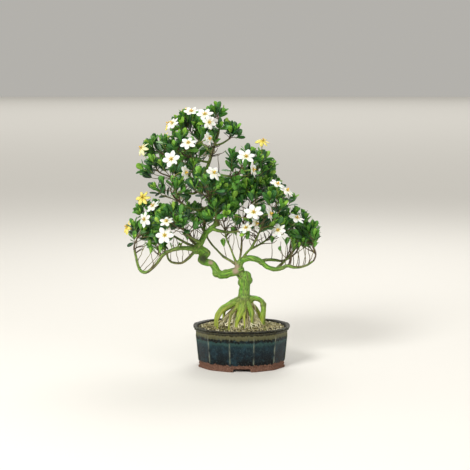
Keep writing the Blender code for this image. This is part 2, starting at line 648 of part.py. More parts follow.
def grow_stalk(room, sprays, name, plan, rng):
    """A stalk from the nearest stem that can reach the foot of a flower."""
    end = plan["foot"] - plan["way"] * 0.3 * MM
    order = []
    for spray in sprays:
        for t in (0.3, 0.45, 0.6, 0.75, 0.9):
            point, way = on_path(spray["stem"], t)
            away = end - point
            if away.length > 0.014:
                turn = away.normalized().dot(plan["way"])
                order.append((away.length * (1.5 - 0.5 * turn), t, spray["name"]))
    order.sort()
    by_name = {spray["name"]: spray for spray in sprays}
    for attempt in range(80):
        cost, t, owner = order[attempt % 30]
        spray = by_name[owner]
        point, way = on_path(spray["stem"], t)
        reach = (end - point).length
        leave = ((end - point).normalized() + way * 0.4) * reach * rng.uniform(0.5, 1.1)
        loose = 0.1 * (attempt // 30) * reach
        leave += Vector((rng.uniform(-loose, loose), rng.uniform(-loose, loose),
                         rng.uniform(-loose, loose)))
        count = 2 if reach < 0.022 else 3
        path = curve_points(point, leave, end - plan["way"] * STRAIGHT * MM,
                            plan["way"] * reach * rng.uniform(0.5, 0.9), count)
        straight = straightness(path + [end])
        if straight > 0.45 and room.clear(path, SHOOT_RADIUS * MM, (name,), "stem " + owner, 0.007):
            path.append(end)
            break
    else:
        print("no clear stalk for", name)
        path.append(end)
    spray["stalks"].append((path, name))
    room.add_path(path, [SHOOT_RADIUS * MM] * len(path), "stem " + owner)


def grow_shoots(room, spray, rng):
    """Leafy shoots to places spread evenly over the pad by the golden angle."""
    first = rng.uniform(0, 2 * math.pi)
    for index in range(spray["count"]):
        for attempt in range(40):
            loose = 0.03 * attempt
            angle = first + index * 2.39996 + rng.uniform(-loose, loose)
            rise = 1.0 - 1.25 * (index + 0.5) / spray["count"] + rng.uniform(-loose, loose) * 0.4
            rise = max(-0.6, min(1.0, rise))
            flat = math.sqrt(max(0.0, 1 - rise * rise))
            far = rng.uniform(0.66, 0.86)
            end = spray["middle"] + Vector((spray["half"][0] * math.cos(angle) * flat,
                                            spray["half"][1] * math.sin(angle) * flat,
                                            spray["half"][2] * rise)) * far * MM
            point, way = on_path(spray["stem"], rng.uniform(0.45, 0.95))
            away = end - point
            if away.length < 0.012:
                continue
            leave = (away.normalized() + way * 0.5) * away.length * 0.8
            arrive = (away.normalized() + Vector((0, 0, 0.9))) * away.length * 0.6
            path = curve_points(point, leave, end, arrive, 2 if away.length < 0.028 else 3)
            if room.clear(path, SHOOT_RADIUS * MM, (), "stem " + spray["name"], 0.006):
                spray["shoots"].append(path)
                room.add_path(path, [SHOOT_RADIUS * MM] * len(path), "stem " + spray["name"])
                break
        else:
            print("left out a shoot of", spray["name"])


def tree_of(bm):
    """Triangles of a bmesh for crossing tests."""
    return BVHTree.FromBMesh(bm, epsilon=0.0)


def leafy_shoot(name, path, whorls, clear_of, rng, collection):
    """A three-sided shoot whose side faces are pushed out into leaves at each whorl."""
    ends_straight = whorls[-1][0] < 1.0
    core = path[:-1] if ends_straight else path
    total = sum((core[i + 1] - core[i]).length for i in range(len(core) - 1))
    if total < 0.015:
        whorls = []
    short = NODE_LONG * MM / total
    points = [path[0]]
    twists = [0.0]
    for index, (share, count, lean) in enumerate(whorls):
        points += [on_path(core, share - short)[0], on_path(core, share)[0]]
        twists += [index * 0.7, index * 0.7]
    if not whorls:
        points += core[1:-1]
        twists += [0.0] * len(core[1:-1])
    if ends_straight:
        points += path[-2:]
        twists += [twists[-1], twists[-1]]
    frames = path_frames(points, [SHOOT_RADIUS * MM] * len(points))
    start = rng.uniform(0, 2)
    frames = [frame @ Matrix.Rotation(start + twist, 4, "Z") for frame, twist in zip(frames, twists)]
    bm = bmesh.new()
    made = bmesh.ops.create_circle(bm, cap_ends=True, segments=SHOOT_SIDES, radius=1, matrix=frames[0])
    face = made["verts"][0].link_faces[0]
    rows = []
    for before, after in zip(frames, frames[1:]):
        fresh, face = push_out(bm, face)
        bmesh.ops.transform(bm, matrix=after @ before.inverted(), verts=fresh)
        row = []
        for vert in fresh:
            row += [item for item in vert.link_faces if item != face and item not in row]
        rows.append(row)
    bmesh.ops.recalc_face_normals(bm, faces=bm.faces[:])
    grown = 0
    for index, (share, count, lean) in enumerate(whorls):
        way = (points[2 * index + 2] - points[2 * index + 1]).normalized()
        row = sorted(rows[2 * index + 1], key=lambda f: f.calc_center_median().z, reverse=True)
        done = 0
        for side in row:
            if done < count and push_leaf(bm, side, way, lean, clear_of, rng):
                done += 1
        grown += done
    bmesh.ops.recalc_face_normals(bm, faces=bm.faces[:])
    return finish_mesh(name, bm, collection), grown


def push_leaf(bm, face, way, lean, clear_of, rng):
    """Pushes one side face of a shoot out into a leaf if there is a clear place for it."""
    others, own_wood, placed = clear_of
    out = face.normal.copy()
    foot = face.calc_center_median()
    for attempt in range(12):
        wobble = 0.05 * attempt
        tilt = math.radians(lean) + rng.uniform(-0.12, 0.12) + rng.uniform(-wobble, wobble) * 0.6
        swing = rng.uniform(-0.25, 0.25) + rng.uniform(-wobble, wobble)
        side = Matrix.Rotation(swing, 3, way) @ out
        along = (side * math.cos(tilt) + way * math.sin(tilt)).normalized()
        across = along.cross(way).normalized()
        lift = across.cross(along).normalized()
        long = rng.uniform(*LEAF_LONG) * MM * (1.0 if attempt < 7 else 0.88)
        wide = long * LEAF_WIDE
        arch = rng.uniform(0.02, 0.14)
        whole = bmesh.new()
        blade(whole, foot, along, lift, long, wide, LEAF_THICK * MM, arch, 0.08, CLEAR * MM)
        outer = bmesh.new()
        blade(outer, foot, along, lift, long, wide, LEAF_THICK * MM, arch, 0.2, CLEAR * MM * 0.5)
        tree_whole = tree_of(whole)
        tree_outer = tree_of(outer)
        whole.free()
        outer.free()
        if any(tree_whole.overlap(other) for other in others):
            continue
        if tree_outer.overlap(own_wood) or any(tree_outer.overlap(tree) for tree in placed):
            continue
        placed.append(tree_outer)
        break
    else:
        return False
    pushed = bmesh.ops.extrude_discrete_faces(bm, faces=[face])["faces"][0]
    ring = pushed.verts[:]
    first = max(range(4), key=lambda i: ring[i].co.dot(way) + ring[(i + 1) % 4].co.dot(way))
    upper = sorted([ring[first], ring[(first + 1) % 4]], key=lambda v: v.co.dot(across))
    lower = sorted([ring[(first + 2) % 4], ring[(first + 3) % 4]], key=lambda v: v.co.dot(across))
    shoulder = foot + along * long * LEAF_WIDEST - lift * arch * long * LEAF_WIDEST ** 2
    for pair, half, rise in ((upper, wide / 2, 0.4), (lower, wide * 0.36, -0.6)):
        for hand, vert in zip((-1, 1), pair):
            vert.co = shoulder + across * hand * half + lift * LEAF_THICK * rise * MM
    tip = bmesh.ops.poke(bm, faces=[pushed])["verts"][0]
    tip.co = foot + along * long - lift * arch * long
    return True


def spray_shoots(spray):
    """Every shoot and stalk of a spray with its whorls: share of its length, leaves, lean."""
    rows = [(path, SHOOT_WHORLS) for path in spray["shoots"]]
    rows += [(path, STALK_WHORLS) for path, bloom in spray["stalks"]]
    return rows


def unite(target, others, solvers):
    """Joins a collection to the target by one Boolean union, and removes its objects.

    The solvers are tried in turn until the joined body is closed; gives back whether it is."""
    bare = target.data
    for solver in solvers:
        target.data = bare.copy()
        modifier = target.modifiers.new("union", "BOOLEAN")
        modifier.operation = "UNION"
        modifier.operand_type = "COLLECTION"
        modifier.collection = others
        modifier.solver = solver
        graph = bpy.context.evaluated_depsgraph_get()
        mesh = bpy.data.meshes.new_from_object(target.evaluated_get(graph))
        target.modifiers.clear()
        target.data = mesh
        closed = tidy(target) == 0
        if closed:
            break
    for item in list(others.objects):
        bpy.data.objects.remove(item, do_unlink=True)
    bpy.data.collections.remove(others)
    return closed


def tidy(target):
    """Takes out flat fins and loose scraps; gives back how many edges are still open."""
    bm = bmesh.new()
    bm.from_mesh(target.data)
    bmesh.ops.triangulate(bm, faces=bm.faces[:])
    twins = {}
    for face in bm.faces:
        twins.setdefault(frozenset(face.verts), []).append(face)
    fins = [face for same in twins.values() if len(same) > 1 for face in same]
    bmesh.ops.delete(bm, geom=fins, context="FACES")
    left = set(bm.verts)
    pieces = []
    while left:
        seed = left.pop()
        piece = {seed}
        edge = [seed]
        while edge:
            vert = edge.pop()
            for link in vert.link_edges:
                other = link.other_vert(vert)
                if other not in piece:
                    piece.add(other)
                    edge.append(other)
        left -= piece
        pieces.append(piece)
    pieces.sort(key=len)
    for piece in pieces[:-1]:
        bmesh.ops.delete(bm, geom=list(piece), context="VERTS")
    bmesh.ops.recalc_face_normals(bm, faces=bm.faces[:])
    open_edges = sum(1 for edge in bm.edges if len(edge.link_faces) != 2)
    bm.to_mesh(target.data)
    bm.free()
    if len(pieces) > 1:
        print(target.name, "pieces left out", [len(piece) for piece in pieces[:-1]])
    return open_edges


def cut(target, cutters):
    """Takes each cutter out of the target and applies it."""
    for cutter in cutters:
        modifier = target.modifiers.new("cut", "BOOLEAN")
        modifier.operation = "DIFFERENCE"
        modifier.object = cutter
        modifier.solver = "MANIFOLD"
    graph = bpy.context.evaluated_depsgraph_get()
    mesh = bpy.data.meshes.new_from_object(target.evaluated_get(graph))
    target.modifiers.clear()
    target.data = mesh


def look_of(name):
    """Material of a node, by the start of its name."""
    for start, (colour, rough, metal) in LOOKS.items():
        if name.startswith(start):
            break
    material = bpy.data.materials.new(name)
    material.use_nodes = True
    shader = material.node_tree.nodes["Principled BSDF"]
    shader.inputs["Base Color"].default_value = (*colour, 1)
    shader.inputs["Roughness"].default_value = rough
    shader.inputs["Metallic"].default_value = metal
    return material


def build_pot(parts, cutters):
    """The pot: one lofted body with notches through its foot and two drain holes."""
    rings = []
    for half_wide, high, rib in POT_PROFILE:
        ring = outline(half_wide * MM, rib * MM, 3)
        rings.append([Vector((p.x + POT_X, p.y + POT_Y, high * MM)) for p in ring])
    pot = loft("pot", rings, parts)
    tools = []
    for index, size in enumerate([(NOTCH_FRONT, 400.0), (400.0, NOTCH_END)]):
        bm = bmesh.new()
        bmesh.ops.create_cube(bm, size=1)
        bmesh.ops.scale(bm, vec=(size[0] * MM, size[1] * MM, 2 * NOTCH_HIGH * MM), verts=bm.verts[:])
        along = 1 if index == 0 else 0
        upper = [edge for edge in bm.edges
                 if all(v.co.z > 0 for v in edge.verts)
                 and abs(edge.verts[0].co[along] - edge.verts[1].co[along]) > 0.1]
        bmesh.ops.bevel(bm, geom=upper, offset=3.0 * MM, segments=2, affect="EDGES", profile=0.5)
        bmesh.ops.translate(bm, vec=(POT_X, POT_Y, 0), verts=bm.verts[:])
        tools.append(finish_mesh("notch_%d" % (index + 1), bm, cutters))
    for index, side in enumerate((-1, 1)):
        bm = bmesh.new()
        bmesh.ops.create_cone(bm, cap_ends=True, segments=DRAIN_SIDES, radius1=DRAIN_RADIUS * MM,
                              radius2=DRAIN_RADIUS * MM, depth=30 * MM,
                              matrix=Matrix.Translation((POT_X + side * DRAIN_X * MM, POT_Y, 12 * MM)))
        tools.append(finish_mesh("drain_hole_%d" % (index + 1), bm, cutters))
    cut(pot, tools)
    return pot


def build_meshes(parts):
    """A small plastic mesh over each drain hole."""
    for side, word in ((-1, "left"), (1, "right")):
        bm = bmesh.new()
        bmesh.ops.create_grid(bm, x_segments=5, y_segments=5, size=MESH_WIDE / 2 * MM)
        gaps = []
        cell = MESH_WIDE / 5 * MM
        for face in bm.faces:
            middle = face.calc_center_median()
            if round(middle.x / cell) % 2 and round(middle.y / cell) % 2:
                gaps.append(face)
        bmesh.ops.delete(bm, geom=gaps, context="FACES_ONLY")
        bmesh.ops.translate(bm, vec=(POT_X + side * DRAIN_X * MM, POT_Y, (FLOOR_Z + 0.3) * MM),
                            verts=bm.verts[:])
        bmesh.ops.solidify(bm, geom=bm.faces[:], thickness=-MESH_THICK * MM)
        bmesh.ops.recalc_face_normals(bm, faces=bm.faces[:])
        finish_mesh("drain_mesh_" + word, bm, parts)


def build_soil(parts, cutters, holes):
    """The soil: fills the pot to just below the rim, mounded, with a plain hole for each root."""
    def wall(high):
        return 82.0 + (high - 20.0) * (89.4 - 82.0) / 60.5 - 0.42

    sizes = [(79.6, SOIL_BASE), (wall(21.5), 21.5), (wall(SOIL_EDGE), SOIL_EDGE)]
    rings = []
    for half_wide, high in sizes:
        ring = outline(half_wide * MM, 0, 2)
        rings.append([Vector((p.x + POT_X, p.y + POT_Y, high * MM)) for p in ring])
    for share in SOIL_RINGS:
        ring = outline(wall(SOIL_EDGE) * share * MM, 0, 2)
        rings.append([Vector((p.x + POT_X, p.y + POT_Y, soil_height(p.x, p.y))) for p in ring])
    soil = loft("soil", rings, parts)
    tools = []
    for index, (x, y, top, radius) in enumerate(holes):
        bm = bmesh.new()
        wide = (radius + GAP * MM) / math.cos(math.pi / HOLE_SIDES)
        low = top - HOLE_DEEP * MM
        high = top + 12 * MM
        bmesh.ops.create_cone(bm, cap_ends=True, segments=HOLE_SIDES, radius1=wide, radius2=wide,
                              depth=high - low,
                              matrix=Matrix.Translation((x, y, (high + low) / 2)))
        tools.append(finish_mesh("root_hole_%02d" % (index + 1), bm, cutters))
    cut(soil, tools)
    return soil


def sides_for(radius):
    """Fewer sides on thinner wood."""
    if radius > 11.0 * MM:
        return 8
    if radius > 8.0 * MM:
        return 7
    if radius > 5.0 * MM:
        return 6
    if radius > 3.6 * MM:
        return 5
    return 4


def build_trunk(parts, wood, roots):
    """Roots, trunk and branches joined into one body."""
    others = bpy.data.collections.new("branches_to_join")
    bpy.context.scene.collection.children.link(others)
    path, radii = wood["trunk"]
    trunk = rod("trunk", path, radii, sides_for(max(radii)), parts)
    for name, (path, radii) in list(wood.items())[1:] + list(roots.items()):
        rod("join_" + name, path, radii, sides_for(max(radii)), others)
    unite(trunk, others, ("MANIFOLD", "EXACT"))
    return trunk


def build_blooms(parts, plans):
    """Each flower, or each pair on a forked stalk, as one body."""
    made = []
    for name, plan in plans.items():
        others = bpy.data.collections.new("petals_to_join")
        bpy.context.scene.collection.children.link(others)
        target = None
        for head, tube in zip(plan["heads"], plan["tubes"]):
            widths = [TUBE_RADIUS * MM * (0.72 + 0.28 * t / (len(tube) - 1))
                      for t in range(len(tube))]
            where = parts if target is None else others
            item = rod(name if target is None else name + "_tube", tube, widths, 3, where)
            target = target or item
            bm = bmesh.new()
            petals(bm, head[0], head[1], head[2], head[3], head[4])
            bmesh.ops.recalc_face_normals(bm, faces=bm.faces[:])
            finish_mesh(name + "_petals", bm, others)
        unite(target, others, ("EXACT", "MANIFOLD"))
        made.append(target)
    return made


def build_sprays(parts, sprays, solids, rng):
    """Each spray: its stem, stalks and shoots with their leaves, as one body."""
    solid_trees = [tree_of_object(item) for item in solids]
    wood_trees = {}
    for spray in sprays:
        bm = bmesh.new()
        sweep(bm, spray["stem"], spray["widths"], STEM_SIDES)
        for path, whorls in spray_shoots(spray):
            sweep(bm, path, [SHOOT_RADIUS * MM] * len(path), SHOOT_SIDES)
        wood_trees[spray["name"]] = tree_of(bm)
        bm.free()
    total = 0
    for index, spray in enumerate(sprays):
        others = solid_trees + [tree for name, tree in wood_trees.items() if name != spray["name"]]
        name = "spray_%02d" % (index + 1)
        for attempt in range(6):
            clear_of = (others, wood_trees[spray["name"]], [])
            target = rod(name, spray["stem"], spray["widths"], STEM_SIDES, parts)
            joined = bpy.data.collections.new("shoots_to_join")
            bpy.context.scene.collection.children.link(joined)
            leaves = 0
            for path, whorls in spray_shoots(spray):
                if attempt > 2:
                    whorls = [(share, max(1, count - 1), lean) for share, count, lean in whorls]
                shoot, grown = leafy_shoot(name + "_shoot", path, whorls, clear_of, rng, joined)
                leaves += grown
            closed = unite(target, joined, ("EXACT", "MANIFOLD"))
            tree = tree_of_object(target)
            if closed and not any(tree.overlap(other) for other in others):
                break
            print(name, "grown again")
            bpy.data.objects.remove(target, do_unlink=True)
        total += leaves
        solid_trees.append(tree)
    print("leaves", total)


def tree_of_object(item):
    """Triangles of an object for crossing tests."""
    bm = bmesh.new()
    bm.from_mesh(item.data)
    bmesh.ops.triangulate(bm, faces=bm.faces[:])
    tree = tree_of(bm)
    bm.free()
    return tree


def main():
    """Builds the whole object."""
    for item in list(bpy.data.objects):
        bpy.data.objects.remove(item, do_unlink=True)
    parts = bpy.data.collections.new(NAME)
    bpy.context.scene.collection.children.link(parts)
    cutters = bpy.data.collections.new("cutters")
    bpy.context.scene.collection.children.link(cutters)
    rng = random.Random(SEED)
    room = Room()
    wood = read_wood(BRANCHES)
    roots = read_wood(ROOTS)
    holes = finish_roots(roots)
    for name, (path, radii) in list(wood.items()) + list(roots.items()):
        room.add_path(path, radii, name)
    blooms = plan_blooms(room, rng)
    sprays = plan_sprays(room, wood, blooms, rng)
    pot = build_pot(parts, cutters)
    build_meshes(parts)
    soil = build_soil(parts, cutters, holes)
    trunk = build_trunk(parts, wood, roots)
    flowers = build_blooms(parts, blooms)
    build_sprays(parts, sprays, [pot, soil, trunk] + flowers, rng)
    for item in parts.objects:
        item.data.materials.clear()
        item.data.materials.append(look_of(item.name))
    for item in cutters.objects:
        item.hide_render = True
        item.display_type = "WIRE"
    low = Vector((9, 9, 9))
    high = Vector((-9, -9, -9))
    total = 0
    for item in parts.objects:
        item.data.calc_loop_triangles()
        total += len(item.data.loop_triangles)
        for vert in item.data.vertices:
            for axis in range(3):
                low[axis] = min(low[axis], vert.co[axis])
                high[axis] = max(high[axis], vert.co[axis])
    print("triangles", total, "nodes", len(parts.objects))
    print("box", [round(v / MM, 1) for v in low], [round(v / MM, 1) for v in high])


main()
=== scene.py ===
# %% [markdown]
# # A gardenia bonsai in its oval pot
# The plain solids of the tree and its pot are loaded first, as a frame that never moves. Every
# cell after that makes one thing that the eye sees: the glazed pot, the soil, the bark, the
# leaves and the flowers. Each is put where the frame says, so nothing has to be fitted by hand.

import functools
import math
import random

import bmesh
import bpy
import numpy as np
from mathutils import Matrix, Vector, noise
from mathutils.kdtree import KDTree


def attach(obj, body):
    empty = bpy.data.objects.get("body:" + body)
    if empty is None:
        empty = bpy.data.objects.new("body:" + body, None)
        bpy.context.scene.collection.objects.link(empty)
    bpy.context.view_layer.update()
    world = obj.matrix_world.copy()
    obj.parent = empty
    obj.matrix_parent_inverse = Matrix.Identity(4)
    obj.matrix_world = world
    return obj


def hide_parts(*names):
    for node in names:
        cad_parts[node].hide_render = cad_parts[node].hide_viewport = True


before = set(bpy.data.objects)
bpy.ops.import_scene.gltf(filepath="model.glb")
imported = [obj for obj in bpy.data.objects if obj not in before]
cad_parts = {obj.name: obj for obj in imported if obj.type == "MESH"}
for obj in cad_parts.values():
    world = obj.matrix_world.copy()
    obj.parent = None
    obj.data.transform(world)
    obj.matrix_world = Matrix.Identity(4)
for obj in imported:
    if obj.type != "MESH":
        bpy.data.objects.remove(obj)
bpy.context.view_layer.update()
MM = 0.001
print("frame nodes", len(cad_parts))

# %% [markdown]
# ## The camera
# A lens is the photographer's choice of how much perspective there is. This one stands 2.7 m
# away, a little above the tree, and looks slightly down. The focal length is worked out from
# the picture's width in pixels, so that a pixel here is a pixel there.

# %% Camera
PICTURE_WIDE = 470
VIEW_FOCAL = 1292.0
VIEW_MIDDLE = (235.0, 234.5)
VIEW_EYE = (-13.8, -2660.0, 595.0)
VIEW_PITCH = math.radians(6.87)
# millimetres that a pixel covers at the tree
PIXEL = 2.08
# where the pot stands, in metres
POT_X = 37.7 * MM
POT_Y = -3.0 * MM
SENSOR = 36.0
SEE_FAR = 400


def show(name, data):
    """Puts a new object into the scene."""
    made = bpy.data.objects.new(name, data)
    bpy.context.scene.collection.objects.link(made)
    return made


def make_camera():
    """A camera at the height, distance and tilt of the reference view."""
    data = bpy.data.cameras.new("camera")
    data.sensor_width = SENSOR
    data.lens = SENSOR * VIEW_FOCAL / PICTURE_WIDE
    data.clip_end = SEE_FAR
    made = show("camera", data)
    made.location = (VIEW_EYE[0] * MM + POT_X, VIEW_EYE[1] * MM + POT_Y, VIEW_EYE[2] * MM)
    made.rotation_euler = (math.pi / 2 - VIEW_PITCH, 0, 0)
    bpy.context.scene.camera = made
    return made


camera = make_camera()
print("lens", round(camera.data.lens, 1), "mm")

# %% [markdown]
# ## Colours and shader nodes
# People choose colours in sRGB, and a shader counts in linear light, so one function
# turns a hex value from one to the other. The others start a material, add a node with its
# settings and links, and set the shader, which keeps each material to a few readable lines.

# %% Helpers for materials
def linear(code):
    """Turns an sRGB hex value into linear RGBA."""
    parts = [int(code[i:i + 2], 16) / 255 for i in (0, 2, 4)]
    return [c / 12.92 if c <= 0.04045 else ((c + 0.055) / 1.055) ** 2.4 for c in parts] + [1.0]


def fill(tree, node, inputs):
    """Sets a node's inputs; each is a value, a hex colour, or the node or socket it comes from."""
    for key, value in inputs.items():
        if isinstance(value, bpy.types.Node):
            value = next(output for output in value.outputs if output.enabled)
        if isinstance(value, bpy.types.NodeSocket):
            tree.links.new(value, node.inputs[key])
        else:
            node.inputs[key].default_value = linear(value) if isinstance(value, str) else value


def add_node(tree, kind, inputs=None, stops=None, **settings):
    """Adds a node with its settings, its inputs and, for a colour ramp, its stops."""
    made = tree.nodes.new("ShaderNode" + kind)
    for name, value in settings.items():
        setattr(made, name, value)
    fill(tree, made, inputs or {})
    if stops:
        ramp = made.color_ramp.elements
        ramp[0].position = stops[0][0]
        ramp[1].position = stops[-1][0]
        for place, code in stops[1:-1]:
            ramp.new(place)
        for element, (place, code) in zip(ramp, stops):
            element.color = linear(code)
    return made


def dress(material, **inputs):
    """Sets or links the inputs of a material's shader."""
    tree = material.node_tree
    shader = tree.nodes["Principled BSDF"]
    fill(tree, shader, {name.replace("_", " "): value for name, value in inputs.items()})
    return material


def new_material(name, **inputs):
    """A named material, and the function that adds nodes to it."""
    material = bpy.data.materials.new(name)
    material.use_nodes = True
    return dress(material, **inputs), functools.partial(add_node, material.node_tree)


print("helpers ready")

# %% [markdown]
# ## Floor and light
# A product shot wants soft light from large sources: their edges blur the shadows and put long
# calm highlights on glossy leaves and glaze. The floor and the surroundings are plain and pale.

# %% Floor, lights and surroundings
FLOOR_WIDE = 84.0
LIGHTS = {
    # name: (place and aim in metres, width in metres, watts)
    "key_light": ((-1.5, -2.3, 2.3), (0.0, 0.0, 0.28), 1.1, 96.0),
    "fill_light": ((1.9, -2.0, 1.0), (0.0, 0.0, 0.28), 1.8, 16.0),
    "back_light": ((0.5, 1.8, 2.2), (0.0, 0.0, 0.28), 1.6, 26.0),
    "far_floor_light": ((0.0, 20.0, 14.0), (0.0, 22.0, 0.0), 30.0, 2100.0),
}
SKY = {"Color": "f4f1ea", "Strength": 0.50}


def end_mesh(name, bm):
    """Turns a bmesh into a mesh and lets go of it."""
    mesh = bpy.data.meshes.new(name)
    bm.to_mesh(mesh)
    bm.free()
    return mesh


def make_stage():
    """The plain floor, soft lights and an even pale surrounding."""
    bm = bmesh.new()
    bmesh.ops.create_grid(bm, x_segments=1, y_segments=1, size=FLOOR_WIDE / 2)
    floor = show("floor", end_mesh("floor", bm))
    paint = new_material("matt_white_paint", Roughness=0.9, Base_Color="e4e1da")[0]
    floor.data.materials.append(paint)
    for name, (place, aim, wide, watts) in LIGHTS.items():
        light = show(name, bpy.data.lights.new(name, "AREA"))
        light.data.energy = watts
        light.data.size = wide
        light.location = place
        light.rotation_euler = (Vector(aim) - Vector(place)).to_track_quat("-Z", "Y").to_euler()
    world = bpy.data.worlds.new("soft_surroundings")
    world.use_nodes = True
    fill(world.node_tree, world.node_tree.nodes["Background"], SKY)
    bpy.context.scene.world = world


make_stage()
bpy.context.scene.view_settings.view_transform = "Standard"
print("lights", sorted(LIGHTS))

# %% [markdown]
# ## The wood, as places in the picture
# A bonsai is a drawing in wood: its bends are what people look at. Each branch is a short list
# of points read from the picture: across and down in pixels, a depth in millimetres with minus
# towards the viewer, and half the width of the wood in pixels. The solids were grown from the
# same lists, so both stand in the same place.

